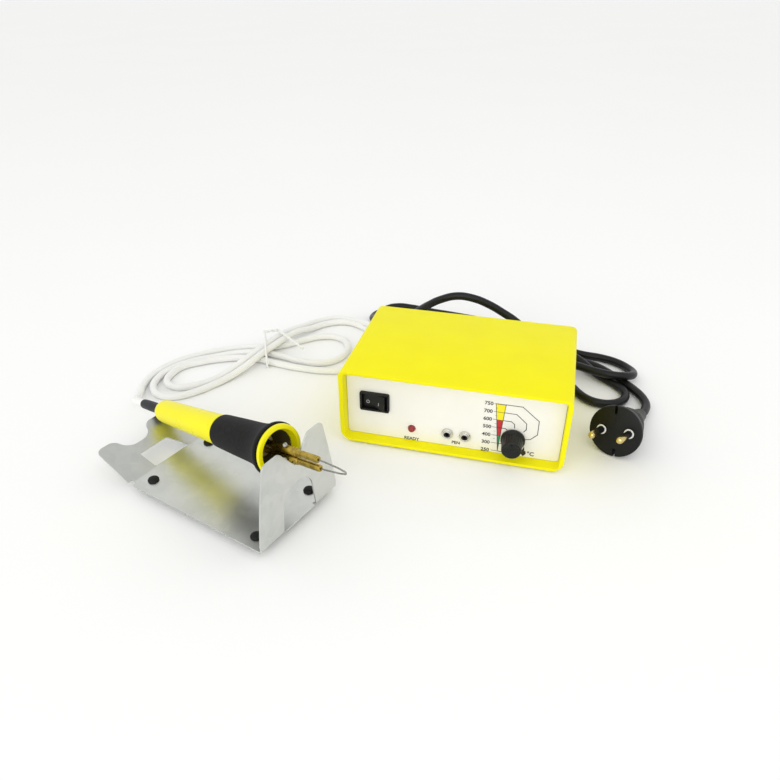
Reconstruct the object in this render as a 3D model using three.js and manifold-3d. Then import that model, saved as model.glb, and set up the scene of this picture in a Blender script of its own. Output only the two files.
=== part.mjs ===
// Wood burning set: a control station, a tethered burning pen and its bent sheet stand.
// Millimetres, +Z up. The station's front faces -Y and its right side +X.
// The set is drawn around the station, then moved so that the origin is the bottom centre
// of the rigid pieces.
import * as THREE from "three";
import { mergeVertices } from "three/addons/utils/BufferGeometryUtils.js";
import Module from "manifold-3d";

const wasm = await Module();
wasm.setup();
const { Manifold, Mesh: ManifoldMesh } = wasm;

// ---- driving dimensions ----
const GAP = 0.3;                      // clearance between neighbouring pieces

// station case
const CASE_W = 155;
const CASE_D = 104;
const CASE_H = 57;
const CASE_Z = 1.5;                   // lift given by the stick-on feet
const WALL_SIDE = 3.2;
const WALL_TOP = 2.2;
const R_TOP = 4.5;                    // outer corner radii
const R_BOTTOM = 8.5;
const R_INNER_LOW = 2.6;              // the cavity's lower corners are tighter than the outside
const FRONT_RECESS = 8.5;
const REAR_RECESS = 3;
const PANEL_T = 2;
const POST = 7.5;                     // square corner posts that take the panel screws
const FRONT_Y = -CASE_D / 2;
const PANEL_Y = FRONT_Y + FRONT_RECESS;           // outer face of the front panel
const REAR_PANEL_Y = CASE_D / 2 - REAR_RECESS;    // outer face of the rear panel
const CASE_MID_Z = CASE_Z + CASE_H / 2;

// front panel controls, as x and z on the panel
const ROCKER = { x: -54.1, z: 32.4, w: 21, h: 15, swing: 12 };
const LED = { x: -27.6, z: 13.9, r: 2.5 };
const JACKS = [{ x: -2.3, z: 14.3 }, { x: 9.9, z: 14.1 }];
const KNOB = { x: 42.4, z: 17.6, skirtR: 8.2, frontR: 6.3, reach: 14 };

// rear panel
const PEN_GLAND = { x: -48, z: 22 };
const MAINS_GLAND = { x: 44, z: 22 };
const FUSE = { x: 0, z: 24 };
const GLAND_LENGTH = 26;

// cords
const PEN_LEAD_D = 5.5;
const MAINS_LEAD_D = 6.6;

// stand: bent from one sheet, standing on four rubber plugs
const SHEET = 1;
const STAND = { x: -74.5, y: -138.7, yaw: -19.3 };
const BASE_TOP = 6.5;
const BASE_LENGTH = 112;
const BASE_HALF_FRONT = 34.6;
const BASE_HALF_REAR = 37.2;
const FLAP_ANGLE = 24;
const FLAP_LENGTH = 33.5;
const PLATE_TOP = 63;
const NOTCH_BOTTOM = 47.3;
const ARCH_HALF = 13.4;

// pen, measured along its axis from the mouth: behind it is positive
const PEN_MOUTH = { x: -85.2, y: -133.6, z: 51.8 };
const PEN_YAW = -25.1;
const PEN_PITCH = 11.85;
const MOUTH_R = 15.8;
const PEN_LENGTH = 127;
const TAIL_END = 152;
const TERMINAL_R = 2;
const TERMINAL_SPREAD = 2.85;         // each terminal's offset from the pen's axis
const TERMINAL_REACH = 33;
const TIP_REACH = 53;
const WIRE_R = 0.5;
const TIP_TRAVEL_BORE = 22;

// mains plug: centre of the pin face, pin direction and the line through both pins
const PLUG_FACE = new THREE.Vector3(109.1, -19.1, 18.3);
const PLUG_OUT = new THREE.Vector3(-0.42, -0.873, 0.249).normalize();
const PLUG_ACROSS = new THREE.Vector3(0.9, -0.37, 0.21);
const PIN_SPACING = 19;

// ---- finishes ----
const finish = (color, roughness, metalness) => ({ color, roughness, metalness });
const YELLOW_ABS = finish(0xf2e316, 0.4, 0);
const WHITE_PANEL = finish(0xf0f0e8, 0.5, 0);
const BLACK_PLASTIC = finish(0x222427, 0.45, 0);
const BLACK_FOAM = finish(0x1d1f21, 0.95, 0);
const BLACK_RUBBER = finish(0x1c1d1f, 0.85, 0);
const WHITE_PVC = finish(0xe9e9e4, 0.55, 0);
const BLACK_PVC = finish(0x1b1c1e, 0.5, 0);
const GALVANISED = finish(0xb4b9b6, 0.4, 0.9);
const STEEL = finish(0xa5a8aa, 0.4, 0.9);
const NICKEL = finish(0xc9c9c6, 0.25, 1);
const BRASS = finish(0xb98f45, 0.35, 1);
const CERAMIC = finish(0xcfc5b2, 0.7, 0);
const RED_LENS = finish(0xc8202a, 0.2, 0);
const COPPER_COIL = finish(0x8a4a2a, 0.5, 0.5);
const BOARD_GREEN = finish(0x2f6b3c, 0.6, 0);
const NICHROME = finish(0x8d8f90, 0.35, 1);

const group = new THREE.Group();
group.name = "wood_burning_set";
const cordNodes = new Set();

function add(name, geometry, look) {
  const material = new THREE.MeshStandardMaterial(look);
  const mesh = new THREE.Mesh(geometry, material);
  mesh.name = name;
  group.add(mesh);
  return mesh;
}

function addCord(name, geometry, look) {
  cordNodes.add(name);
  return add(name, geometry, look);
}

// ---- solid helpers ----
function toManifold(geometry) {
  const plain = geometry.clone();
  plain.deleteAttribute("normal");
  plain.deleteAttribute("uv");
  const merged = mergeVertices(plain, 1e-5);
  return new Manifold(new ManifoldMesh({
    numProp: 3,
    vertProperties: new Float32Array(merged.attributes.position.array),
    triVerts: new Uint32Array(merged.index.array),
  }));
}

function fromManifold(solid) {
  const mesh = solid.getMesh();
  const geometry = new THREE.BufferGeometry();
  geometry.setAttribute("position", new THREE.BufferAttribute(new Float32Array(mesh.vertProperties), 3));
  geometry.setIndex(new THREE.BufferAttribute(new Uint32Array(mesh.triVerts), 1));
  geometry.computeVertexNormals();
  return geometry;
}

const cut = (body, ...tools) => fromManifold(
  tools.reduce((solid, tool) => solid.subtract(toManifold(tool)), toManifold(body)));
const join = (body, ...more) => fromManifold(
  more.reduce((solid, piece) => solid.add(toManifold(piece)), toManifold(body)));
const keep = (body, tool) => fromManifold(toManifold(body).intersect(toManifold(tool)));

function box(x0, x1, y0, y1, z0, z1) {
  const geometry = new THREE.BoxGeometry(x1 - x0, y1 - y0, z1 - z0);
  return geometry.translate((x0 + x1) / 2, (y0 + y1) / 2, (z0 + z1) / 2);
}

// Turned solid about +Z from [radius, height] pairs, given upwards along the outside.
function turned(profile, segments = 32) {
  const points = profile.map(([r, z]) => new THREE.Vector2(r, z));
  const geometry = new THREE.LatheGeometry(points, segments);
  return geometry.rotateX(Math.PI / 2);
}

// Turned solid whose axis points towards -Y, out of the front panel.
function turnedFront(profile, x, z, segments = 32) {
  return turned(profile, segments).rotateX(Math.PI / 2).translate(x, PANEL_Y, z);
}

// Turned solid whose axis points towards +Y, out of the rear panel.
function turnedRear(profile, x, z, segments = 24) {
  return turned(profile, segments).rotateX(-Math.PI / 2).translate(x, REAR_PANEL_Y, z);
}

function shapeFrom(points) {
  const shape = new THREE.Shape();
  points.forEach(([x, y], i) => (i ? shape.lineTo(x, y) : shape.moveTo(x, y)));
  shape.closePath();
  return shape;
}

function extruded(shape, depth, curveSegments = 8) {
  return new THREE.ExtrudeGeometry(shape, { depth, bevelEnabled: false, curveSegments });
}

// Rectangle between the given sides with separate lower and upper corner radii.
function roundedRect(x0, x1, y0, y1, rLow, rHigh) {
  const shape = new THREE.Shape();
  shape.moveTo(x0 + rLow, y0);
  shape.lineTo(x1 - rLow, y0);
  shape.absarc(x1 - rLow, y0 + rLow, rLow, -Math.PI / 2, 0, false);
  shape.lineTo(x1, y1 - rHigh);
  shape.absarc(x1 - rHigh, y1 - rHigh, rHigh, 0, Math.PI / 2, false);
  shape.lineTo(x0 + rHigh, y1);
  shape.absarc(x0 + rHigh, y1 - rHigh, rHigh, Math.PI / 2, Math.PI, false);
  shape.lineTo(x0, y0 + rLow);
  shape.absarc(x0 + rLow, y0 + rLow, rLow, Math.PI, 1.5 * Math.PI, false);
  return shape;
}

// A shape drawn in x and z, given thickness from y0 to y1.
function standing(shape, y0, y1, curveSegments = 8) {
  return extruded(shape, y1 - y0, curveSegments).rotateX(Math.PI / 2).translate(0, y1, 0);
}

function cordTube(points, diameter, sides, steps) {
  const path = new THREE.CatmullRomCurve3(points.map((p) => new THREE.Vector3(...p)), false, "centripetal");
  const ring = new THREE.Shape();
  ring.absarc(0, 0, diameter / 2, 0, 2 * Math.PI, false);
  return new THREE.ExtrudeGeometry(ring, {
    steps,
    extrudePath: path,
    bevelEnabled: false,
    curveSegments: sides,
  });
}

// ---- station case ----
const caseX = CASE_W / 2;
const innerX = caseX - WALL_SIDE;
const innerLow = CASE_Z + WALL_TOP;
const innerHigh = CASE_Z + CASE_H - WALL_TOP;

const caseOutline = roundedRect(-caseX, caseX, CASE_Z, CASE_Z + CASE_H, R_BOTTOM, R_TOP);
caseOutline.holes.push(roundedRect(-innerX, innerX, innerLow, innerHigh, R_INNER_LOW, R_TOP - 2.2));
const postFront = PANEL_Y + PANEL_T + GAP;
const postRear = REAR_PANEL_Y - PANEL_T - GAP;
const posts = [];
const screwSpots = [];
for (const sx of [-1, 1]) {
  for (const top of [0, 1]) {
    const x = sx * (innerX - POST / 2 - 0.5);
    const z = top ? innerHigh - POST / 2 - 0.5 : innerLow + POST / 2 + 0.5;
    const xEdge = sx * (innerX + 1);
    const zEdge = top ? innerHigh + 1 : innerLow - 1;
    const xFar = x - sx * POST / 2;
    const zFar = z + (top ? -1 : 1) * POST / 2;
    posts.push(box(Math.min(xEdge, xFar), Math.max(xEdge, xFar), postFront, postRear,
      Math.min(zEdge, zFar), Math.max(zEdge, zFar)));
    screwSpots.push({ x, z });
  }
}
const sleeve = standing(caseOutline, FRONT_Y, CASE_D / 2, 6);
const pilotBores = screwSpots.map(({ x, z }) =>
  turned([[0, 0], [1.6, 0], [1.6, 14], [0, 14]], 12).rotateX(-Math.PI / 2).translate(x, postRear - 13, z));
add("station_case", cut(join(sleeve, ...posts), ...pilotBores), YELLOW_ABS);

// Both panels are set inside the sleeve with the same outline.
const panelOutline = () => roundedRect(-innerX + GAP, innerX - GAP, innerLow + GAP, innerHigh - GAP,
  R_INNER_LOW - 0.3, R_TOP - 2.5);
const roundHole = (r, x, z, y0, y1, segments = 20) =>
  turned([[0, 0], [r, 0], [r, y1 - y0], [0, y1 - y0]], segments).rotateX(-Math.PI / 2).translate(x, y0, z);
const ROCKER_BODY_W = 18.6;
const ROCKER_BODY_H = 12.6;
const panelBack = PANEL_Y + PANEL_T;
const frontHole = (r, spot) => roundHole(r, spot.x, spot.z, PANEL_Y - 1, panelBack + 1);
add("front_panel", cut(
  standing(panelOutline(), PANEL_Y, panelBack, 4),
  box(ROCKER.x - ROCKER_BODY_W / 2 - GAP, ROCKER.x + ROCKER_BODY_W / 2 + GAP, PANEL_Y - 1, panelBack + 1,
    ROCKER.z - ROCKER_BODY_H / 2 - GAP, ROCKER.z + ROCKER_BODY_H / 2 + GAP),
  frontHole(LED.r + GAP, LED),
  frontHole(3.3, JACKS[0]),
  frontHole(3.3, JACKS[1]),
  frontHole(4.3, KNOB),
), WHITE_PANEL);

const GLAND_HOLE_R = 6.2;
const FUSE_HOLE_R = 6.3;
const rearFront = REAR_PANEL_Y - PANEL_T;
add("rear_panel", cut(
  standing(panelOutline(), rearFront, REAR_PANEL_Y, 4),
  roundHole(GLAND_HOLE_R, PEN_GLAND.x, PEN_GLAND.z, rearFront - 1, REAR_PANEL_Y + 1),
  roundHole(GLAND_HOLE_R, MAINS_GLAND.x, MAINS_GLAND.z, rearFront - 1, REAR_PANEL_Y + 1),
  roundHole(FUSE_HOLE_R, FUSE.x, FUSE.z, rearFront - 1, REAR_PANEL_Y + 1),
  ...screwSpots.map(({ x, z }) => roundHole(1.7, x, z, rearFront - 1, REAR_PANEL_Y + 1, 12)),
), YELLOW_ABS);

screwSpots.forEach(({ x, z }, i) => {
  const profile = [[0, -11], [1.25, -11], [1.25, GAP], [3, GAP], [3, 1.1], [2.1, 1.9], [0, 1.9]];
  add(`rear_panel_screw_${i + 1}`, turnedRear(profile, x, z, 14), STEEL);
});

[[-1, -1], [1, -1], [-1, 1], [1, 1]].forEach(([sx, sy], i) => {
  const foot = turned([[0, 0], [5.4, 0], [6, 0.5], [6, CASE_Z - GAP], [0, CASE_Z - GAP]], 20);
  add(`station_foot_${i + 1}`, foot.translate(sx * (caseX - 18), sy * (CASE_D / 2 - 14), 0), BLACK_RUBBER);
});

// ---- inside the station ----
const CHASSIS_Z = innerLow + GAP;
const CHASSIS_T = 1.2;
const BOARD_Z = CHASSIS_Z + 6;
const standoff = (x, y) =>
  turned([[0, 0], [3, 0], [3, 5.7], [0, 5.7]], 12).translate(x, y, CHASSIS_Z);
const chassisHalfX = innerX - POST - 2.2;
add("chassis_plate", join(
  box(-chassisHalfX, chassisHalfX, -34, 44, CHASSIS_Z, CHASSIS_Z + CHASSIS_T),
  standoff(10, -22),
  standoff(58, -22),
  standoff(10, 32),
  standoff(58, 32),
), STEEL);

const CORE = { x: -32, y: 12, w: 48, t: 26, h: 40 };
const coreLow = CHASSIS_Z + CHASSIS_T + GAP;
const coreMid = coreLow + CORE.h / 2;
const coreBox = (x0, x1, y0, y1, z0, z1) =>
  box(CORE.x + x0, CORE.x + x1, CORE.y + y0, CORE.y + y1, coreMid + z0, coreMid + z1);
const windowIn = CORE.w / 6;
const windowOut = CORE.w / 3;
add("transformer_core", cut(
  coreBox(-CORE.w / 2, CORE.w / 2, -CORE.t / 2, CORE.t / 2, -CORE.h / 2, CORE.h / 2),
  coreBox(windowIn, windowOut, -CORE.t, CORE.t, -12, 12),
  coreBox(-windowOut, -windowIn, -CORE.t, CORE.t, -12, 12),
), STEEL);
add("transformer_winding", cut(
  coreBox(-windowOut + GAP, windowOut - GAP, -CORE.t / 2 - 8, CORE.t / 2 + 8, -12 + GAP, 12 - GAP),
  coreBox(-windowIn - GAP, windowIn + GAP, -CORE.t / 2 - GAP, CORE.t / 2 + GAP, -20, 20),
), COPPER_COIL);

add("control_board", box(4, 64, -26, 36, BOARD_Z, BOARD_Z + 1.6), BOARD_GREEN);
const onBoard = BOARD_Z + 1.6 + GAP;
const fins = [];
for (let i = 0; i < 4; i += 1) {
  fins.push(box(14 + i * 6, 16 + i * 6, 10, 28, onBoard + 2, onBoard + 20));
}
add("triac_heatsink", join(box(12, 36, 10, 28, onBoard, onBoard + 3), ...fins), finish(0x9fa2a4, 0.45, 0.9));
add("smoothing_capacitor",
  turned([[0, 0], [5, 0], [5, 20], [4.3, 20.8], [0, 20.8]], 20).translate(50, 20, onBoard), BLACK_PLASTIC);
add("terminal_block", box(40, 62, -10, -1, onBoard, onBoard + 11), finish(0x3d8b54, 0.5, 0));

// potentiometer: the case is held behind the panel, its spindle carries the knob
add("potentiometer", turnedFront(
  [[3.3, -14.3], [9, -14.3], [9, -PANEL_T - GAP], [4, -PANEL_T - GAP], [4, 2.6], [3.3, 2.6], [3.3, -14.3]],
  KNOB.x, KNOB.z, 24), STEEL);
add("potentiometer_spindle", turnedFront(
  [[0, -PANEL_T - 13], [3, -PANEL_T - 13], [3, 11], [0, 11]], KNOB.x, KNOB.z, 20), STEEL);

// knob with a pointer rib on its face; the bore slides over the spindle and clears its bushing
const knobBody = turnedFront(
  [[0, 11 + GAP], [3 + GAP, 11 + GAP], [3 + GAP, 3.2], [4.4, 3.2], [4.4, 0.6], [KNOB.skirtR, 0.6],
    [KNOB.skirtR, 2.6], [7.2, 3.6], [KNOB.frontR + 0.3, KNOB.reach - 0.8], [KNOB.frontR - 0.6, KNOB.reach],
    [0, KNOB.reach]], KNOB.x, KNOB.z, 32);
const pointer = box(KNOB.x - 0.6, KNOB.x + 0.6, PANEL_Y - KNOB.reach - 0.5, PANEL_Y - KNOB.reach + 1,
  KNOB.z + 0.5, KNOB.z + 5);
add("temperature_knob", join(knobBody, pointer), BLACK_PLASTIC);

// ---- power rocker: rocks left and right about an upright pin ----
const ROCKER_FACE = 2;                // how far the bezel stands out of the panel
const ROCKER_DEPTH = 16;
const rx = (v) => ROCKER.x + v;
const rz = (v) => ROCKER.z + v;
const rockerWell = box(rx(-9), rx(9), PANEL_Y - ROCKER_FACE - 1, PANEL_Y + 8, rz(-6), rz(6));
add("rocker_frame", cut(
  join(
    box(rx(-ROCKER.w / 2), rx(ROCKER.w / 2), PANEL_Y - ROCKER_FACE, PANEL_Y - GAP, rz(-ROCKER.h / 2), rz(ROCKER.h / 2)),
    box(rx(-ROCKER_BODY_W / 2), rx(ROCKER_BODY_W / 2), PANEL_Y - 1, PANEL_Y + ROCKER_DEPTH,
      rz(-ROCKER_BODY_H / 2), rz(ROCKER_BODY_H / 2)),
  ),
  rockerWell,
), BLACK_PLASTIC);
// Section of the button in x and depth, about its pin; the face is a shallow V.
const PIN_DEPTH = 1.2;
const buttonShape = shapeFrom([[-8.2, 0.4], [-3, -4.5], [3, -4.5], [8.2, 0.4], [8.2, 2.8], [0, 1.5], [-8.2, 2.8]]);
const button = extruded(buttonShape, 11.4).rotateX(Math.PI / 2).translate(0, 5.7, 0).rotateX(Math.PI / 2);
button.rotateZ(THREE.MathUtils.degToRad(-ROCKER.swing)).translate(ROCKER.x, PANEL_Y + PIN_DEPTH, ROCKER.z);
add("power_rocker", button, BLACK_PLASTIC);

// ---- pilot lamp and tip sockets ----
add("pilot_lamp", turnedFront(
  [[0, -PANEL_T - 5], [2.2, -PANEL_T - 5], [2.9, -PANEL_T - 2.4], [2.9, -PANEL_T - GAP], [LED.r, -PANEL_T - GAP],
    [LED.r, 0.6], [2.2, 1.9], [1.3, 2.8], [0, 3.1]], LED.x, LED.z, 20), RED_LENS);
JACKS.forEach((spot, i) => {
  const side = i ? "right" : "left";
  add(`socket_${side}`, turnedFront(
    [[0, -16], [4.6, -16], [4.6, -PANEL_T - GAP], [3, -PANEL_T - GAP], [3, 2.6], [1.8, 2.6], [1.8, -12], [0, -12]],
    spot.x, spot.z, 24), NICKEL);
  add(`socket_nut_${side}`, turnedFront(
    [[3.3, GAP], [4, GAP], [4, 1.8], [3.7, 2.1], [3.3, 2.1], [3.3, GAP]], spot.x, spot.z, 24), NICKEL);
});

// ---- rear strain reliefs and fuse holder ----
const reliefProfile = (leadR) => [
  [0, -5], [4.2, -5], [6.9, -4], [6.9, -PANEL_T - GAP], [5.9, -PANEL_T - GAP], [5.9, GAP], [8, GAP], [8, 2.6],
  [6.6, 3], [leadR + 1, GLAND_LENGTH], [0, GLAND_LENGTH]];
add("pen_lead_relief", turnedRear(reliefProfile(PEN_LEAD_D / 2), PEN_GLAND.x, PEN_GLAND.z), BLACK_RUBBER);
add("mains_lead_relief", turnedRear(reliefProfile(MAINS_LEAD_D / 2), MAINS_GLAND.x, MAINS_GLAND.z), BLACK_RUBBER);
add("fuse_holder", turnedRear(
  [[0, -24], [5.2, -24], [5.2, -PANEL_T - GAP], [6, -PANEL_T - GAP], [6, GAP], [8, GAP], [8, 2], [5.6, 2.6],
    [5.2, 8], [0, 8]], FUSE.x, FUSE.z), BLACK_PLASTIC);

// ---- stand ----
const standMatrix = new THREE.Matrix4().makeRotationZ(THREE.MathUtils.degToRad(STAND.yaw));
standMatrix.setPosition(STAND.x, STAND.y, 0);
const baseLow = BASE_TOP - SHEET;
const relief = 1.5;                   // notches that end each bend cleanly
const baseShape = shapeFrom([
  [-BASE_LENGTH, -BASE_HALF_REAR + 3], [-BASE_LENGTH + 2.4, -BASE_HALF_REAR + 3],
  [-BASE_LENGTH + 3, -BASE_HALF_REAR], [0, -BASE_HALF_FRONT],
  [0, -ARCH_HALF - relief], [-2.4, -ARCH_HALF - relief], [-2.4, -ARCH_HALF], [-0.3, -ARCH_HALF],
  [-0.3, ARCH_HALF], [-2.4, ARCH_HALF], [-2.4, ARCH_HALF + relief], [0, ARCH_HALF + relief],
  [0, BASE_HALF_FRONT], [-BASE_LENGTH + 3, BASE_HALF_REAR],
  [-BASE_LENGTH + 2.4, BASE_HALF_REAR - 3], [-BASE_LENGTH, BASE_HALF_REAR - 3]]);
const base = extruded(baseShape, SHEET).translate(0, 0, baseLow);

// Front plate, drawn in y and z: two legs, an arched window and a notch for the pen's terminals.
const plateShape = new THREE.Shape();
plateShape.moveTo(-BASE_HALF_FRONT, baseLow);
plateShape.lineTo(-BASE_HALF_FRONT, 11);
plateShape.lineTo(-31.7, 31);
plateShape.lineTo(-26, 60);
plateShape.quadraticCurveTo(-25.4, PLATE_TOP, -22.5, PLATE_TOP);
plateShape.lineTo(-14, PLATE_TOP);
plateShape.quadraticCurveTo(-12, PLATE_TOP, -10.8, 61.3);
plateShape.lineTo(-1.2, NOTCH_BOTTOM + 0.9);
plateShape.quadraticCurveTo(0, NOTCH_BOTTOM - 0.6, 1.2, NOTCH_BOTTOM + 0.9);
plateShape.lineTo(10.8, 61.3);
plateShape.quadraticCurveTo(12, PLATE_TOP, 14, PLATE_TOP);
plateShape.lineTo(22.5, PLATE_TOP);
plateShape.quadraticCurveTo(25.4, PLATE_TOP, 26, 60);
plateShape.lineTo(31.7, 31);
plateShape.lineTo(BASE_HALF_FRONT, 11);
plateShape.lineTo(BASE_HALF_FRONT, baseLow);
plateShape.lineTo(ARCH_HALF + relief, baseLow);
plateShape.lineTo(ARCH_HALF - 0.4, 22.5);
plateShape.absarc(0, 22.5, ARCH_HALF - 0.4, 0, Math.PI, false);
plateShape.lineTo(-ARCH_HALF - relief, baseLow);
plateShape.closePath();
const plate = extruded(plateShape, SHEET, 6).applyMatrix4(new THREE.Matrix4().makeBasis(
  new THREE.Vector3(0, 1, 0), new THREE.Vector3(0, 0, 1), new THREE.Vector3(1, 0, 0)))
  .translate(-SHEET, 0, 0);

// Rear flap, drawn as distance up the flap and y: a rest cut-out in its edge, a window at the fold.
const flapShape = new THREE.Shape();
flapShape.moveTo(0, -BASE_HALF_REAR + 3);
flapShape.lineTo(2, -BASE_HALF_REAR + 3);
flapShape.lineTo(2.8, -BASE_HALF_REAR - 0.3);
flapShape.lineTo(FLAP_LENGTH - 4, -BASE_HALF_REAR - 0.3);
flapShape.quadraticCurveTo(FLAP_LENGTH, -BASE_HALF_REAR - 0.3, FLAP_LENGTH, -BASE_HALF_REAR + 4);
flapShape.lineTo(FLAP_LENGTH, -27);
flapShape.quadraticCurveTo(FLAP_LENGTH, -23.5, FLAP_LENGTH - 4, -21.6);
flapShape.quadraticCurveTo(23.4, -18.5, 22.8, -11);
flapShape.quadraticCurveTo(23.4, -2.5, FLAP_LENGTH - 4.5, 0.6);
flapShape.quadraticCurveTo(FLAP_LENGTH, 2, FLAP_LENGTH, 5);
flapShape.lineTo(FLAP_LENGTH, 19);
flapShape.quadraticCurveTo(FLAP_LENGTH, 22, FLAP_LENGTH - 3, 23.5);
flapShape.lineTo(16, 31);
flapShape.lineTo(2, BASE_HALF_REAR - 3);
flapShape.lineTo(0, BASE_HALF_REAR - 3);
flapShape.closePath();
flapShape.holes.push(shapeFrom([[15.1, -17.7], [15.1, 4.7], [1, 12.4], [1, -16.3]]));
const flapAngle = THREE.MathUtils.degToRad(FLAP_ANGLE);
const flapUp = new THREE.Vector3(-Math.cos(flapAngle), 0, Math.sin(flapAngle));
const flapDown = new THREE.Vector3(-Math.sin(flapAngle), 0, -Math.cos(flapAngle));
const flap = extruded(flapShape, SHEET, 6).applyMatrix4(new THREE.Matrix4().makeBasis(
  flapUp, new THREE.Vector3(0, 1, 0), flapDown)).translate(-BASE_LENGTH + 0.6, 0, BASE_TOP);
const footSpots = [[-102, -26.5], [-102, 21.5], [-11.5, -26.5], [-11.5, 21.5]];
const plugHoles = footSpots.map(([x, y]) =>
  turned([[0, 0], [2.2, 0], [2.2, 6], [0, 6]], 16).translate(x, y, baseLow - 3));
add("stand_plate", cut(join(base, plate, flap), ...plugHoles).applyMatrix4(standMatrix), GALVANISED);

footSpots.forEach(([x, y], i) => {
  const foot = turned([[0, 0], [3.8, 0], [4.2, 0.5], [4.2, baseLow - GAP], [1.9, baseLow - GAP],
    [1.9, BASE_TOP + GAP], [3.6, BASE_TOP + GAP], [3.5, 7.6], [2.4, 8.4], [0, 8.7]], 16);
  add(`stand_foot_${i + 1}`, foot.translate(x, y, 0).applyMatrix4(standMatrix), BLACK_RUBBER);
});

// ---- pen: local x to its right, y upwards, z backwards along the axis from the mouth ----
const yaw = THREE.MathUtils.degToRad(PEN_YAW);
const pitch = THREE.MathUtils.degToRad(PEN_PITCH);
const penForward = new THREE.Vector3(
  Math.cos(yaw) * Math.cos(pitch), Math.sin(yaw) * Math.cos(pitch), Math.sin(pitch));
const penRight = new THREE.Vector3().crossVectors(penForward, new THREE.Vector3(0, 0, 1)).normalize();
const penUp = new THREE.Vector3().crossVectors(penRight, penForward);
const penMatrix = new THREE.Matrix4().makeBasis(penRight, penUp, penForward.clone().negate());
penMatrix.setPosition(PEN_MOUTH.x, PEN_MOUTH.y, PEN_MOUTH.z);
const onPen = (geometry) => geometry.applyMatrix4(penMatrix);

// barrel: one turned shell split lengthways, the seam low on the right-hand side
const SEAM_ANGLE = THREE.MathUtils.degToRad(-35);
const barrel = () => turned([
  [7.9, 34.6], [9.6, 34.6], [9.6, 55.9], [9.9, 56.2], [8, 122], [7.2, 125.6], [5.6, PEN_LENGTH],
  [4, PEN_LENGTH], [4, 118.5], [5.8, 118.5], [6.2, 60], [7.9, 50], [7.9, 34.6]], 32);
const halfSpace = (y0, y1) => box(-30, 30, y0, y1, 20, 140).rotateZ(SEAM_ANGLE);
// screw that draws the halves together, entered from the underside near the tail
const screwHole = turned([[0, -20], [2.6, -20], [2.6, -5.6], [1.3, -5.6], [1.3, 6.2], [0, 6.2]], 12)
  .rotateX(-Math.PI / 2).rotateZ(SEAM_ANGLE).translate(0, 0, 108);
add("pen_handle_upper", onPen(cut(keep(barrel(), halfSpace(GAP / 2, 30)), screwHole)), YELLOW_ABS);
add("pen_handle_lower", onPen(cut(keep(barrel(), halfSpace(-30, -GAP / 2)), screwHole)), YELLOW_ABS);
add("pen_handle_screw", onPen(turned(
  [[0, -7.4], [2.3, -7.4], [2.3, -5.9], [1, -5.9], [1, 5.8], [0, 5.8]], 12)
  .rotateX(-Math.PI / 2).rotateZ(SEAM_ANGLE).translate(0, 0, 108)), STEEL);

add("pen_grip", onPen(turned([
  [15.5, 2.8], [16.2, 2.8], [16.4, 3.2], [16.4, 5.6], [15.2, 8], [13.9, 11.5], [12.8, 16.5], [12.4, 20],
  [10.7, 55], [10.3, 55.6],
  [9.95, 55.6], [9.95, 14.8], [15.5, 2.8]], 32)), BLACK_FOAM);
add("pen_nose", onPen(turned([
  [12.9, 0], [15.4, 0], [MOUTH_R, 0.5], [MOUTH_R, 2], [15, 2.5], [9.6, 14.5], [9.6, 34.2],
  [7.6, 34.2], [7.6, 15], [12.6, 1], [12.9, 0]], 32)), YELLOW_ABS);

const terminalAt = (side) => [0, side * TERMINAL_SPREAD, 0];
const carrierBores = [1, -1].map((side) =>
  turned([[0, 10], [2.3, 10], [2.3, 30], [0, 30]], 16).translate(...terminalAt(side)));
add("terminal_carrier", onPen(cut(
  turned([[0, 16], [7.3, 16], [7.3, 25], [0, 25]], 28), ...carrierBores)), CERAMIC);
[["upper", 1, 75], ["lower", -1, 15]].forEach(([place, side, screwAngle]) => {
  add(`terminal_${place}`, onPen(turned([
    [0.8, -TERMINAL_REACH], [1.5, -TERMINAL_REACH], [TERMINAL_R, -TERMINAL_REACH + 1.2], [TERMINAL_R, -15],
    [2.45, -14], [2.45, -3], [TERMINAL_R, -2.4], [TERMINAL_R, 29], [0, 29], [0, -TERMINAL_REACH + TIP_TRAVEL_BORE],
    [0.8, -TERMINAL_REACH + TIP_TRAVEL_BORE - 0.5], [0.8, -TERMINAL_REACH]], 20)
    .translate(...terminalAt(side))), BRASS);
  const clamp = turned([[0, 2.75], [1.5, 2.75], [1.5, 4.6], [1.1, 5], [0, 5]], 12).rotateY(Math.PI / 2);
  clamp.rotateZ(THREE.MathUtils.degToRad(screwAngle)).translate(0, side * TERMINAL_SPREAD, -7);
  add(`clamp_screw_${place}`, onPen(clamp), STEEL);
});

const spread = TERMINAL_SPREAD;
add("wire_tip", onPen(cordTube([
  [0, spread, -12.5], [0, spread, -24], [0, spread, -34], [0, 2.2, -42], [0, 1.1, -50.5], [0, 0, -TIP_REACH],
  [0, -1.1, -50.5], [0, -2.2, -42], [0, -spread, -34], [0, -spread, -24], [0, -spread, -12.5]],
WIRE_R * 2, 4, 40)), NICHROME);

add("pen_tail_sleeve", onPen(turned([
  [0, 112], [5.3, 112], [5.3, 118], [3.7, 118], [3.7, 128], [3.55, 150], [3.1, TAIL_END], [0, TAIL_END]],
20)), BLACK_RUBBER);

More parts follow.
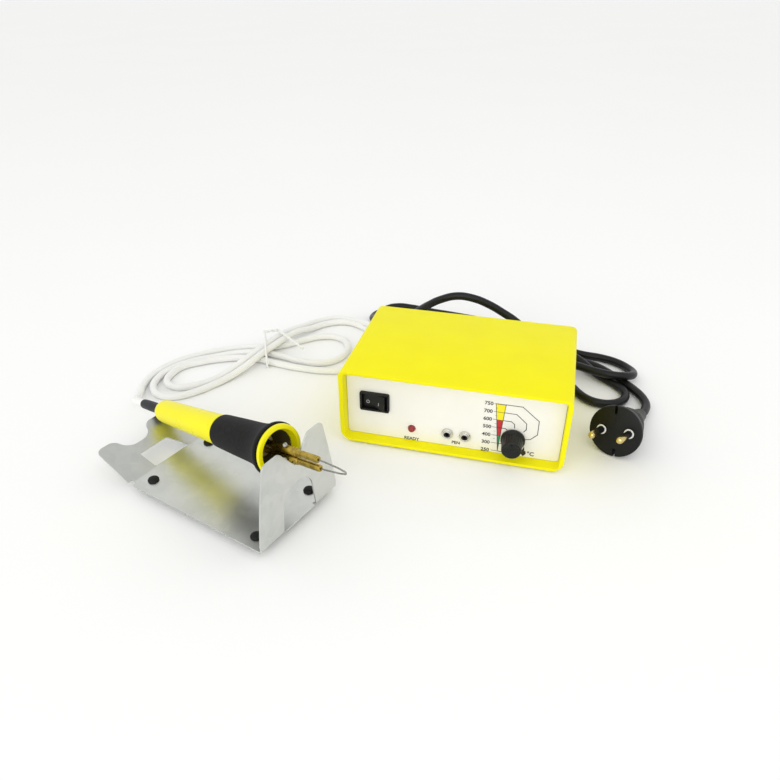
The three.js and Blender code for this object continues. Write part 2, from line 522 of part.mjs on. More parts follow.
// ---- pen lead: out of the station, gathered in a hank under a tie, then up to the pen ----
const glandEnd = REAR_PANEL_Y + GLAND_LENGTH + GAP;
const LEAD_SIDES = 5;                 // arc divisions: a ten-sided section
addCord("pen_lead_from_station", cordTube([
  [PEN_GLAND.x, glandEnd, PEN_GLAND.z], [PEN_GLAND.x, 79, 22], [-50.5, 84.5, 21.3], [-58, 88.4, 18],
  [-67, 88.5, 12.5], [-75, 88, 8], [-81, 88, 6.1], [-85.6, 88, 6]], PEN_LEAD_D, LEAD_SIDES, 8), WHITE_PVC);
const hankShape = shapeFrom([
  [-250, -34], [-238, -34], [-232, -42], [-214, -38], [-198, -16], [-180, 14], [-168, 26], [-146, 24], [-106, 28],
  [-88, 38], [-86, 56], [-86, 98], [-92, 106], [-104, 118], [-114, 127], [-124, 132], [-139, 133], [-160, 118],
  [-178, 94],
  [-196, 70], [-220, 52], [-240, 34], [-256, 10], [-258, -14]]);
hankShape.holes.push(shapeFrom([
  [-226, -26], [-236, -20], [-244, -6], [-242, 8], [-230, 24], [-214, 34], [-204, 30], [-204, 12], [-214, -10]]));
hankShape.holes.push(shapeFrom([
  [-152, 46], [-160, 62], [-158, 86], [-144, 106], [-126, 114], [-110, 106], [-102, 84], [-102, 60], [-112, 48],
  [-130, 44]]));
const HANK_H = 11;
addCord("pen_lead_hank", extruded(hankShape, HANK_H - GAP).translate(0, 0, GAP), WHITE_PVC);

const penTail = new THREE.Vector3(0, 0, TAIL_END + GAP).applyMatrix4(penMatrix);
addCord("pen_lead_to_pen", cordTube([
  penTail.toArray(), penTail.clone().addScaledVector(penForward, -6).toArray(), [-233, -61.5, 18], [-239.5, -52.5, 13],
  [-243.4, -45, 8.5], [-244, -39, 6.6], [-244, -34.4, 6.2]], PEN_LEAD_D, LEAD_SIDES, 6), WHITE_PVC);

const tieFar = new THREE.Vector3(-191, 79, 0);
const tieNear = new THREE.Vector3(-164, 19, 0);
const tieHalf = tieFar.distanceTo(tieNear) / 2;
const tieShape = shapeFrom([
  [-tieHalf - 1.6, GAP], [-tieHalf, GAP], [-tieHalf, HANK_H + 0.4], [tieHalf, HANK_H + 0.4], [tieHalf, GAP],
  [tieHalf + 1.6, GAP], [tieHalf + 1.6, HANK_H + 1.6], [tieHalf, HANK_H + 2], [-tieHalf, HANK_H + 2],
  [-tieHalf - 1.6, HANK_H + 1.6]]);
const tieAngle = Math.atan2(tieNear.y - tieFar.y, tieNear.x - tieFar.x);
addCord("hank_tie", standing(tieShape, -1, 1).rotateZ(tieAngle)
  .translate((tieFar.x + tieNear.x) / 2, (tieFar.y + tieNear.y) / 2, 0), WHITE_PVC);

// ---- mains lead: arches out of the station, hanked behind it, then round to the plug ----
addCord("mains_lead_from_station", cordTube([
  [MAINS_GLAND.x, glandEnd, MAINS_GLAND.z], [MAINS_GLAND.x, 80, 22.1], [43.4, 87, 23.5], [38, 95, 28], [29, 101, 33],
  [18, 103, 38.5], [5, 103, 45], [-8, 102, 49.5], [-22, 101, 50.5], [-36, 101, 45.5], [-46.5, 104, 38.5],
  [-54, 108.5, 31.5], [-58, 112, 24.5], [-58, 112, 18.4]],
MAINS_LEAD_D, LEAD_SIDES, 12), BLACK_PVC);
const bundleShape = shapeFrom([
  [-108.8, 135], [-106, 124], [-98, 113.5], [-88, 110], [-70, 106], [-46, 104], [-20, 100.5], [10, 93.5],
  [34, 85], [49, 78.5], [57, 71.5], [68, 62], [77, 53.9], [79.2, 51.5], [84, 43.5], [91.5, 36.5], [103, 33.3],
  [114, 37], [122, 46], [125, 56], [130, 62],
  [130, 72], [132, 84], [129, 97], [119, 107.5], [104, 112.3], [90, 114], [75, 118.5], [53, 129], [29, 141],
  [0, 150], [-30, 155], [-60, 157.5], [-84, 159], [-97, 156], [-105.5, 147.5]]);
const BUNDLE_H = 18;
addCord("mains_lead_hank", extruded(bundleShape, BUNDLE_H - GAP).translate(0, 0, GAP), BLACK_PVC);
addCord("mains_lead_to_plug", cordTube([
  [130.4, 68, 8], [134, 67.8, 8], [140, 64, 7.2], [142.6, 55, 6], [141.3, 45, 4.6], [136.5, 35.5, 4.2],
  [133.2, 30.2, 4.6], [131.2, 26.8, 5.1]],
MAINS_LEAD_D, LEAD_SIDES, 5), BLACK_PVC);

// ---- mains plug, lying on the table: local z runs backwards from the pin face ----
const plugBack = PLUG_OUT.clone().negate();
const plugX = PLUG_ACROSS.clone().addScaledVector(plugBack, -PLUG_ACROSS.dot(plugBack)).normalize();
const plugY = new THREE.Vector3().crossVectors(plugBack, plugX);
const plugMatrix = new THREE.Matrix4().makeBasis(plugX, plugY, plugBack).setPosition(PLUG_FACE);
const slot = (y0, y1) => box(-1.2, 1.2, y0, y1, -1, 15);
const pinHole = (side) =>
  turned([[0, -1], [2.7, -1], [2.7, 8], [0, 8]], 16).translate(side * PIN_SPACING / 2, 0, 0);
add("plug_body", cut(
  turned([[0, 0], [17.6, 0], [18.2, 0.7], [18, 3], [16.5, 8], [15.3, 12.5], [13.5, 19], [11.6, 25], [8.9, 32],
    [6.6, 40], [4.3, 52], [0, 52]], 32),
  slot(12.5, 20), slot(-20, -12.5), pinHole(1), pinHole(-1)).applyMatrix4(plugMatrix), BLACK_PLASTIC);
cordNodes.add("plug_body");
[["left", -1], ["right", 1]].forEach(([place, side]) => {
  const pin = turned([[0, -19], [1.5, -19], [2.4, -17.4], [2.4, 7.6], [0, 7.6]], 16);
  addCord(`plug_pin_${place}`, pin.translate(side * PIN_SPACING / 2, 0, 0).applyMatrix4(plugMatrix), BRASS);
});

// ---- bring the rigid pieces' bottom centre to the origin ----
const rigid = new THREE.Box3();
group.children.forEach((mesh) => {
  if (!cordNodes.has(mesh.name)) rigid.expandByObject(mesh);
});
const middle = rigid.getCenter(new THREE.Vector3());
group.children.forEach((mesh) => mesh.geometry.translate(-middle.x, -middle.y, -rigid.min.z));

export default group;
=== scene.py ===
# %% [markdown]
# # A wood burning set
# The set has a yellow control station, a pen with a hot wire tip, a stand bent from one sheet of
# steel and two leads. This lesson builds the fine surface of each piece in Blender. The sizes and
# places come from a CAD frame that is loaded first, so a new piece always goes where the frame says.

# %% Load the frame
import math
import bpy
import bmesh
from mathutils import Matrix, Vector


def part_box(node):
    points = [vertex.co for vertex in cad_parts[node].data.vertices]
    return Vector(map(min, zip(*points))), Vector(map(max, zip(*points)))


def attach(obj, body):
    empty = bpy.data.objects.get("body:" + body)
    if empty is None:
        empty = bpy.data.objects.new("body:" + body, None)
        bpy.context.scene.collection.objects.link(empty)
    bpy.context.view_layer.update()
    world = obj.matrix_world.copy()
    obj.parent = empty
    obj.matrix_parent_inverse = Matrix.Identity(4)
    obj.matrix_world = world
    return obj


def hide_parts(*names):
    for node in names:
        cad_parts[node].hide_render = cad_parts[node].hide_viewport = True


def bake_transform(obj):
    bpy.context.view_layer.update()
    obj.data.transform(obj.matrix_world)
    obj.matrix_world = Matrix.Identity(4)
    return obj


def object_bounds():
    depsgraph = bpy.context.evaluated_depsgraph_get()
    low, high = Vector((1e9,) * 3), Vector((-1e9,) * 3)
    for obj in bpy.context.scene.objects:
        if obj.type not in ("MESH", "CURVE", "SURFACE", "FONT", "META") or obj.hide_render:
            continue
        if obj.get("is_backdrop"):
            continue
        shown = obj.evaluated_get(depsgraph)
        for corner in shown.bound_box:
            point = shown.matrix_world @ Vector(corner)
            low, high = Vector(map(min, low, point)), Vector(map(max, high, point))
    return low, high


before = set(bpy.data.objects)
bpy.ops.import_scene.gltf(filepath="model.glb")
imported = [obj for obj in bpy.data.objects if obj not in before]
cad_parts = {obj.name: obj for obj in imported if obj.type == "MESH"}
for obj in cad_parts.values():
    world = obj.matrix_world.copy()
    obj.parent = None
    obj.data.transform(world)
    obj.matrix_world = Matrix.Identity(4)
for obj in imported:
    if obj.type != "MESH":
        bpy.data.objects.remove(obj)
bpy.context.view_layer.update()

# %% [markdown]
# The maker's drawings are in millimetres, measured from the middle of the station, and Blender
# works in metres. One matrix does the change: STATION takes a drawing point to its place. The
# middle comes from the box of the case in the frame.

# %% Drawing millimetres to metres
MM = 0.001


def moved(x, y, z=0.0):
    return Matrix.Translation((x, y, z))


def rotated(degrees, axis):
    return Matrix.Rotation(math.radians(degrees), 4, axis)


case_low, case_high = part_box("station_case")
STATION = moved((case_low.x + case_high.x) / 2, (case_low.y + case_high.y) / 2) @ Matrix.Scale(MM, 4)
TO_DRAWING = STATION.inverted()
case_min, case_max = TO_DRAWING @ case_low, TO_DRAWING @ case_high
PANEL_Y = (TO_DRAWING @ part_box("front_panel")[0]).y
REAR_Y = (TO_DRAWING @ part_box("rear_panel")[1]).y
print("case from", case_min, "to", case_max, "panel at", round(PANEL_Y, 2))

# %% [markdown]
# The camera stands in front of the set, a little to the right, and looks down at it. A wide lens
# close to the set gives the strong perspective that makes a small tool look near at hand.

# %% Camera
CAMERA_AT = STATION @ Vector((51.3, -407.7, 288.3))
LOOK_LEFT, LOOK_DOWN, TILT = 14.5545, 33.059, -0.2333


def new_object(name, data):
    made = bpy.data.objects.new(name, data)
    bpy.context.scene.collection.objects.link(made)
    return made


camera = new_object("camera", bpy.data.cameras.new("camera"))
camera.data.sensor_width = 36
camera.data.lens = 30.408
camera.data.clip_start = 0.01
camera.data.clip_end = 50
turn = rotated(LOOK_LEFT, "Z") @ rotated(90 - LOOK_DOWN, "X") @ rotated(TILT, "Z")
camera.matrix_world = moved(*CAMERA_AT) @ turn
bpy.context.scene.camera = camera
print("camera at", camera.location)

# %% [markdown]
# A finish is a shader made of nodes. One helper adds a node, sets it and links it. Another turns
# the hex colours of a paint chart, which are sRGB, into the linear numbers that shaders use.

# %% Helpers for finishes
def linear(code):
    parts = [int(code[i:i + 2], 16) / 255 for i in (1, 3, 5)]
    return tuple(c / 12.92 if c <= 0.04045 else ((c + 0.055) / 1.055) ** 2.4 for c in parts) + (1.0,)


def add_node(material, kind, inputs=None, **settings):
    node = material.node_tree.nodes.new(kind)
    for name, value in settings.items():
        setattr(node, name, value)
    for name, value in (inputs or {}).items():
        if isinstance(value, bpy.types.NodeSocket):
            material.node_tree.links.new(value, node.inputs[name])
        else:
            node.inputs[name].default_value = value
    return node


def new_finish(name):
    material = bpy.data.materials.new(name)
    material.use_nodes = True
    material.node_tree.nodes.clear()
    where = add_node(material, "ShaderNodeTexCoord").outputs["Object"]
    return material, where


def close_finish(material, inputs):
    shader = add_node(material, "ShaderNodeBsdfPrincipled", inputs)
    add_node(material, "ShaderNodeOutputMaterial", {"Surface": shader.outputs["BSDF"]})
    return material


def cells(size_mm):
    """Scale of a pattern whose cells are this many millimetres across, for coordinates in metres."""
    return 1000 / size_mm


def noise(material, where, size_mm, detail):
    inputs = {"Vector": where, "Scale": cells(size_mm), "Detail": detail}
    return add_node(material, "ShaderNodeTexNoise", inputs).outputs["Fac"]


def between(material, value, low, high, start=0.3, end=0.7):
    inputs = {"Value": value, "From Min": start, "From Max": end, "To Min": low, "To Max": high}
    return add_node(material, "ShaderNodeMapRange", inputs).outputs["Result"]


def bumped(material, height, depth_mm, strength):
    inputs = {"Height": height, "Distance": depth_mm * MM, "Strength": strength}
    return add_node(material, "ShaderNodeBump", inputs).outputs["Normal"]


def mix_colours(material, factor, colour, second):
    ramp = add_node(material, "ShaderNodeValToRGB", {"Fac": factor})
    for element, place, code in zip(ramp.color_ramp.elements, (0.3, 0.7), (colour, second)):
        element.position = place
        element.color = linear(code)
    return ramp.outputs["Color"]


print("finish helpers ready")

# %% [markdown]
# Moulded plastic is one colour all through, so it looks even. What the eye reads as plastic is the
# skin that the mould leaves: a fine spark-eroded grain, slow changes in gloss where the melt cooled
# unevenly, and a very slight drift of colour. All of these are noise, at three sizes.

# %% Moulded plastics and rubber
GLOSS_SPREAD = 0.08  # how far the roughness drifts over a piece


def moulded(name, colour, second, roughness, grain_mm, grain_depth, ior=1.53, soft=0.0):
    material, where = new_finish(name)
    inputs = {"Base Color": mix_colours(material, noise(material, where, 28, 3.0), colour, second),
              "Roughness": between(material, noise(material, where, 9, 4.0),
                                   roughness - GLOSS_SPREAD / 2, roughness + GLOSS_SPREAD / 2),
              "Normal": bumped(material, noise(material, where, grain_mm, 2.0), grain_depth, 0.6), "IOR": ior}
    if soft:
        inputs.update({"Subsurface Weight": soft, "Subsurface Radius": (0.004, 0.004, 0.003), "Subsurface Scale": 0.5})
    return close_finish(material, inputs)


lemon_abs = moulded("lemon_abs_satin_moulded", "#efe600", "#f2ea00", 0.5, 0.5, 0.02, ior=1.28)
pen_abs = moulded("lemon_abs_gloss_moulded", "#efe600", "#f2ea04", 0.3, 0.7, 0.01, ior=1.36)
black_abs = moulded("black_abs_spark_eroded", "#0e0f0e", "#141514", 0.42, 0.45, 0.03, ior=1.36)
black_pa = moulded("black_nylon_plug_moulding", "#0b0c0b", "#101110", 0.45, 0.5, 0.03, ior=1.32)
white_insulator = moulded("white_pin_sleeve_nylon", "#e6e6e2", "#ededea", 0.45, 0.5, 0.01)
soft_rubber = moulded("black_epdm_rubber", "#0c0d0d", "#121313", 0.62, 0.6, 0.04, ior=1.35)
sleeve_rubber = moulded("black_heat_shrink_sleeve", "#14181b", "#1a1f23", 0.5, 0.8, 0.03, ior=1.4)
white_pvc = moulded("white_pvc_lead_sheath", "#e8e8e5", "#efefec", 0.42, 1.2, 0.02, soft=0.15)
black_pvc = moulded("black_pvc_lead_sheath", "#0b0c0c", "#111212", 0.38, 1.1, 0.03, ior=1.38)
steatite = moulded("steatite_ceramic_unglazed", "#cfc3ac", "#c3b598", 0.75, 0.4, 0.03)
# painted shade: a dark brown finish for a liner that darkens the inside of the pen's mouth as its shade would
mouth_shade_liner = moulded("painted_shade_mouth_liner", "#2a2410", "#4c4219", 0.6, 0.8, 0.03)
green_board = moulded("glass_epoxy_solder_mask", "#2c6a3a", "#2f7140", 0.35, 0.8, 0.01)
green_block = moulded("green_polyamide_terminal", "#3a8a52", "#41935a", 0.45, 0.5, 0.02)
print("plastics made")

# %% [markdown]
# The grip is a sleeve of black foam. Its cut cells catch no highlight and leave a soft, pitted
# skin. A Voronoi pattern gives the cells and a noise breaks them up, and a little sheen stands for
# the light that the thin cell walls scatter. Real cells are 0.3 mm; they are drawn at 0.7 mm so
# that they show.

# %% Foam
def open_foam():
    material, where = new_finish("black_eva_foam_open_cell")
    pits = add_node(material, "ShaderNodeTexVoronoi", {"Vector": where, "Scale": cells(0.7)})
    lumps = noise(material, where, 2.5, 5.0)
    height = add_node(material, "ShaderNodeMath", {0: pits.outputs["Distance"], 1: lumps}, operation="ADD")
    tone = mix_colours(material, lumps, "#0a0b0a", "#141614")
    return close_finish(material, {"Base Color": tone, "Roughness": 0.95, "IOR": 1.3,
                        "Normal": bumped(material, height.outputs["Value"], 0.12, 0.8), "Sheen Weight": 0.05,
                        "Sheen Roughness": 0.6})


foam = open_foam()
print("foam made")

# %% [markdown]
# The stand is galvanised sheet. Zinc freezes in crystals a few millimetres wide, the spangle, and
# each crystal reflects a little differently. The sheet is rolled too, so fine lines run along it.
# Its reflections are blurred: the pen's yellow handle shows in the base as a soft stain of colour.

# %% Galvanised sheet and the other metals
STAND_YAW = math.radians(-19.3)  # the stand is turned, and the rolled lines with it


def galvanised():
    material, where = new_finish("galvanised_sheet_steel")
    spangle = add_node(material, "ShaderNodeTexVoronoi", {"Vector": where, "Scale": cells(5.5)})
    split = add_node(material, "ShaderNodeSeparateColor", {"Color": spangle.outputs["Color"]})
    blend = add_node(material, "ShaderNodeMath", {0: split.outputs["Green"], 1: 0.2}, operation="MULTIPLY")
    tone_at = add_node(material, "ShaderNodeMath", {0: noise(material, where, 22, 4.0), 1: blend.outputs["Value"]},
                       operation="ADD")
    along_rolling = add_node(material, "ShaderNodeMapping", {"Vector": where, "Rotation": (0, 0, -STAND_YAW),
                             "Scale": (0.05, 1, 1)}).outputs["Vector"]
    return close_finish(material, {
        "Base Color": mix_colours(material, tone_at.outputs["Value"], "#c6c9c6", "#d3d5d1"), "Metallic": 1.0,
        "Roughness": between(material, split.outputs["Red"], 0.33, 0.375, 0, 1),
        "Normal": bumped(material, noise(material, along_rolling, 0.7, 2.0), 0.01, 0.5)})


def bright_metal(name, colour, second, roughness, grain_mm, depth=0.01):
    material, where = new_finish(name)
    drift = noise(material, where, 4, 4.0)
    return close_finish(material, {
        "Base Color": mix_colours(material, drift, colour, second), "Metallic": 1.0,
        "Roughness": between(material, drift, roughness * 0.8, roughness * 1.2),
        "Normal": bumped(material, noise(material, where, grain_mm, 2.0), depth, 0.4)})


zinc_sheet = galvanised()
zinc_steel = bright_metal("zinc_plated_steel", "#b3b5b4", "#c2c3bf", 0.32, 0.5)
nickel = bright_metal("nickel_plated_brass", "#cfcdc6", "#dbd9d2", 0.2, 0.6)
brass = bright_metal("turned_brass_heat_tarnished", "#8f7a30", "#c2a852", 0.28, 0.4)
pin_brass = bright_metal("turned_brass", "#c4ad66", "#d6c383", 0.2, 0.4)
nichrome = bright_metal("drawn_nichrome_wire", "#8c8b86", "#a3a29c", 0.3, 0.4)
core_steel = bright_metal("laminated_transformer_steel", "#8f9190", "#9fa09d", 0.45, 0.35, 0.04)
heat_sink = bright_metal("extruded_aluminium", "#a4a7a8", "#b4b6b6", 0.38, 0.5)
copper_winding = bright_metal("enamelled_copper_winding", "#8a4526", "#a05632", 0.35, 0.5, 0.05)
print("metals made")

# %% [markdown]
# The front panel is a white sheet with its scale screen printed on it. Screen ink is a flat film,
# a little glossier than the sheet. The pilot lamp's lens is clear red acrylic over its lamp.

# %% Panel sheet, inks and lens
panel_sheet = moulded("white_panel_sheet_satin", "#efede4", "#f2f1e9", 0.4, 0.9, 0.008)
black_ink = moulded("black_screen_ink", "#1d1c1a", "#232220", 0.4, 0.6, 0.004)
yellow_ink = moulded("yellow_screen_ink", "#f3e300", "#f6e80c", 0.4, 0.6, 0.004)
red_ink = moulded("red_screen_ink", "#c01822", "#c61e28", 0.4, 0.6, 0.004)
green_ink = moulded("green_screen_ink", "#1d8a4e", "#239156", 0.4, 0.6, 0.004)
white_ink = moulded("white_marking_ink", "#c9cac6", "#d2d3cf", 0.5, 0.6, 0.004)
red_lens = moulded("red_acrylic_lens", "#8c1c20", "#962226", 0.16, 2.0, 0.004, ior=1.49, soft=0.2)
dark_bore = moulded("black_phenolic_insert", "#0b0b0c", "#101011", 0.5, 0.5, 0.01)


# %% [markdown]

# %% [markdown]
# A white table without an edge and soft light from all round give the plain studio look. The world
# is the light tent. Two large lamps add a soft direction, so that tops are brighter than sides
# and the set throws a faint shadow.

# %% Table and light
def paper():
    material, where = new_finish("white_table_paper")
    tone = mix_colours(material, noise(material, where, 1000 / 3, 2.0), "#f7f7f6", "#f8f8f7")
    return close_finish(material, {"Base Color": tone, "Roughness": 0.9, "IOR": 1.3})


def to_object(bm, name, *finishes):
    mesh = bpy.data.meshes.new(name)
    bm.to_mesh(mesh)
    bm.free()
    for finish in finishes:
        mesh.materials.append(finish)
    return new_object(name, mesh)


sweep = bmesh.new()
bmesh.ops.create_grid(sweep, x_segments=8, y_segments=8, size=9.0)
table = to_object(sweep, "table", paper())
table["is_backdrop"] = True

world = bpy.data.worlds.new("light_tent")
bpy.context.scene.world = world
world.use_nodes = True
sky_at = add_node(world, "ShaderNodeTexCoord").outputs["Generated"]
sky_up = add_node(world, "ShaderNodeSeparateXYZ", {"Vector": sky_at})
background = world.node_tree.nodes["Background"]
world.node_tree.links.new(between(world, sky_up.outputs["Z"], 1.02, 0.62, 0.6, 0.97), background.inputs["Strength"])
background.inputs["Color"].default_value = (1.0, 1.0, 0.995, 1.0)


def lamp(name, kind, power, direction):
    made = new_object(name, bpy.data.lights.new(name, kind))
    made.data.energy = power
    made.rotation_mode = "QUATERNION"
    made.rotation_quaternion = Vector(direction).to_track_quat("-Z", "Y")
    return made


def softbox(name, at, aim, size, power):
    box = lamp(name, "AREA", power, Vector(aim) - Vector(at))
    box.location = at
    box.data.shape = "RECTANGLE"
    box.data.size, box.data.size_y = size


softbox("softbox_above", (0.45, -0.35, 1.3), (0, 0, 0), (1.0, 0.8), 1.6)
softbox("softbox_front", (-0.1, -1.5, 0.7), (0, 0, 0.03), (1.2, 0.8), 3.4)
lamp("soft_window", "SUN", 0.42, (0.3, 1.0, -0.9)).data.angle = math.radians(70)
bpy.context.scene.view_settings.view_transform = "Standard"
print("light set")

# %% [markdown]
# Every piece leaves its bmesh in the same way. Doubled points are merged and the faces are turned
# outwards, then flat runs are shaded smooth and real edges kept crisp. The drawing matrix takes
# the mesh to its place, so the object itself stays at the origin.

# %% Helpers for pieces
def clean(bm, merge=0.002):
    bmesh.ops.remove_doubles(bm, verts=bm.verts, dist=merge)
    bmesh.ops.recalc_face_normals(bm, faces=bm.faces)


def settle(bm, name, finish, place=None, body="station", smooth=32, merge=0.002, replaces=None):
    clean(bm, merge)
    for face in bm.faces:
        face.smooth = True
    for edge in bm.edges:
        if len(edge.link_faces) == 2:
            edge.smooth = edge.calc_face_angle() < math.radians(smooth)
    bmesh.ops.transform(bm, matrix=STATION if place is None else STATION @ place, verts=bm.verts)
    piece = to_object(bm, name, finish)
    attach(piece, body)
    if replaces:
        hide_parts(replaces)
    return piece


def bevel(bm, geom, width, segments, affect, clamp):
    bmesh.ops.bevel(bm, geom=geom, offset=width, offset_type="OFFSET", segments=segments, profile=0.5,
                    affect=affect, clamp_overlap=clamp, material=-1)


def soften(bm, width, segments=2, sharper=32, only=None):
    """Rounds every edge that turns by more than sharper degrees."""
    clean(bm)
    edges = [e for e in bm.edges if len(e.link_faces) == 2 and e.calc_face_angle() > math.radians(sharper)
             and (only is None or only(e))]
    bevel(bm, edges, width, segments, "EDGES", True)
    return bm


def turned(profile, steps=64, angle=360.0, start=0.0):
    """Spins a closed outline of (radius, height) pairs about Z."""
    bm = bmesh.new()
    across, aside = math.cos(math.radians(start)), math.sin(math.radians(start))
    verts = [bm.verts.new((r * across, r * aside, z)) for r, z in profile]
    closed = profile[0][0] > 0 or profile[-1][0] > 0
    edges = [bm.edges.new((verts[i], verts[i + 1])) for i in range(len(verts) - 1)]
    if closed:
        edges.append(bm.edges.new((verts[-1], verts[0])))
    bmesh.ops.spin(bm, geom=verts + edges, axis=(0, 0, 1), angle=math.radians(angle), steps=steps,
                   use_merge=angle == 360.0)
    clean(bm)
    return bm


def outline(bm, points, corners=0.0, segments=6):
    """A closed outline in XY from a few corners. Each corner is rounded by bevelling its vertex."""
    verts = [bm.verts.new((x, y, 0)) for x, y in points]
    bm.faces.new(verts)
    sizes = corners if isinstance(corners, (list, tuple)) else [corners] * len(verts)
    for vert, size in zip(verts, sizes):
        if size:
            bevel(bm, [vert], size, segments, "VERTICES", False)


def shift(bm, x, y, z):
    bmesh.ops.translate(bm, verts=bm.verts, vec=(x, y, z))


def round_hole(bm, x, y, radius, segments=32):
    bmesh.ops.create_circle(bm, radius=radius, segments=segments, matrix=moved(x, y))


def fill_outlines(bm):
    """Fills between the outer outline and the holes that were drawn in the same bmesh."""
    bmesh.ops.delete(bm, geom=bm.faces[:], context="FACES_ONLY")
    bmesh.ops.triangle_fill(bm, use_beauty=True, edges=bm.edges[:], normal=(0, 0, 1))


def thicken(bm, thickness):
    grown = bmesh.ops.extrude_face_region(bm, geom=bm.faces[:])
    lifted = [v for v in grown["geom"] if isinstance(v, bmesh.types.BMVert)]
    bmesh.ops.translate(bm, verts=lifted, vec=(0, 0, thickness))
    bmesh.ops.recalc_face_normals(bm, faces=bm.faces)
    return bm


UPRIGHT = rotated(90, "X")  # XY drawing to the XZ plane, its +Z to -Y


def on_front(x, z, out=0.0):
    """Stands a piece that was turned about Z on the front panel, pointing out of it."""
    return moved(x, PANEL_Y - out, z) @ UPRIGHT


def on_rear(x, z, out=0.0):
    return moved(x, REAR_Y + out, z) @ rotated(-90, "X")


print("helpers ready")

# %% [markdown]
# A lead has a fixed length and lies under its own weight. The pen's lead leaves the back of the
# station, is gathered into a figure of eight under a wire tie, and then rises to the pen. The
# route is a list of points that a Bezier curve passes through. The same curve without thickness
# gives the centre line, which is measured. Where runs cross, the upper one rises in a long hump.

# %% Route of the pen lead
PEN_LEAD_D, MAINS_LEAD_D = 5.5, 6.6


def laid(height, route):
    """Points without a height of their own lie on the table: their centre is at this height."""
    return [(*point, height)[:3] for point in route]


pen_lead_route = laid(3.05, [
    (-48, 75.3, 22), (-48, 79.5, 22), (-50.2, 84.8, 21.6), (-56.5, 89.5, 19.2), (-67, 91.5, 14.4), (-79, 92.5, 10.8),
    (-88.5, 96, 9.3), (-97, 103.5, 9.2), (-105.5, 113, 7.8), (-115, 121, 4.8), (-127, 126, 3.1), (-141, 125.5),
    (-155, 114.5, 3.1), (-164, 98, 5.2), (-171, 80, 8.4), (-176, 64, 8.9), (-180, 48, 8.9), (-184.5, 33, 8.6),
    (-190, 19, 6.4), (-198, 3, 3.8), (-207, -9.5), (-217, -18), (-228, -21), (-237.5, -15.5), (-240, -4), (-237.5, 8),
    (-227, 18.5), (-210, 29), (-194, 35), (-179, 36), (-162, 33), (-140, 31), (-118, 32), (-103, 38), (-94, 51),
    (-91, 70), (-92, 88), (-99, 104), (-113, 116), (-130, 120), (-145, 112.5), (-155, 98, 4.2), (-162.5, 82, 7.8),
    (-168, 66, 8.9), (-172.5, 50, 8.9), (-177, 35, 8.7), (-182.5, 19, 6.6), (-190, 4, 4), (-198.5, -10), (-209, -25),
    (-221, -34), (-233, -34.5), (-243, -27), (-247.5, -12), (-244, 4), (-233, 19), (-216, 32), (-198, 43), (-181, 47),
    (-163, 45.5), (-145, 42), (-128, 42.5), (-116, 50), (-111, 64), (-114, 79), (-125, 89), (-140, 88), (-154, 78),
    (-166, 66), (-179, 58), (-196, 54), (-214, 45), (-234, 29), (-248, 11), (-254, -7), (-253.5, -24),
    (-249, -36, 3.6), (-244, -46, 6.3), (-239, -54, 10.5), (-233, -61.8, 16.0), (-225.5, -67.9, 19.3),
    (-220.2, -70.4, 20.5)])

# %% [markdown]
# The mains lead is thicker and stiffer. It springs out of the station in an arch, comes down behind
# it and is folded into a hank of three turns whose ends show on both sides. The last run goes
# round to the plug, which lies on the table.

# %% Route of the mains lead
mains_lead_route = laid(3.6, [
    (44, 75.3, 22), (44, 80, 22.1), (43.4, 87, 23.5), (38, 95, 28), (29, 101, 33), (18, 103, 38.5), (5, 103, 45),
    (-8, 102, 49.5), (-22, 101, 50.5), (-36, 101, 45.5), (-46.5, 104, 38), (-54, 108.5, 31), (-61, 111.5, 24.5),
    (-70, 112.5, 19.6), (-80, 112.5, 16.6), (-91, 115, 12.8), (-101, 122.5, 8.4), (-105.3, 133.5, 4.9),
    (-103, 145, 3.7), (-95, 152.5), (-83, 155.3), (-60, 153.5), (-30, 151), (0, 146), (28, 137), (52, 125),
    (74, 114.5), (90, 110), (103, 108.5), (116.5, 103.5), (125.5, 94.5, 4), (128.4, 84, 6), (124, 74.5, 9),
    (113, 70, 10.4), (100, 72, 10.4), (84, 78, 10.4), (64, 86, 10.4), (40, 97, 10.4), (12, 108, 10.4),
    (-18, 114, 10.4), (-48, 116.5, 10.3), (-66, 116.5, 10.3), (-80, 117.5, 10.3), (-91, 122, 10.3),
    (-96.5, 132, 10.3), (-94, 143, 10.3), (-85, 150, 10.3), (-72, 150.5, 10.2), (-52, 147, 10.2), (-28, 144, 10.2),
    (0, 139, 10.2), (28, 129, 10.2), (52, 116, 10.2), (72, 103.5, 9.4), (86, 92.5, 7.4), (96, 83.5, 4.8), (106, 74.6),
    (115, 66.2), (120.3, 58.5), (121, 50), (117, 42.6), (109.5, 38), (101, 37.2), (93, 40.3), (86.3, 46.8),
    (80.5, 55.5), (70, 66.5), (55, 78), (36, 88), (10, 98), (-16, 104.5), (-44, 108), (-64, 109.5), (-78, 112),
    (-87.5, 119), (-91, 129.5), (-88.5, 140), (-80, 146), (-66, 146.5), (-44, 144.5), (-20, 141), (5, 134.5),
    (30, 124.5), (52, 113), (72, 103), (88, 97.5), (99, 93), (108, 86), (115.5, 77.5), (123, 69.3, 3.8),
    (129, 60.5, 4.3), (134, 51, 4.3), (135.8, 42, 4.3), (134.6, 34.5, 4.5), (132.5, 29, 5.0), (131.0, 26.3, 5.35)])


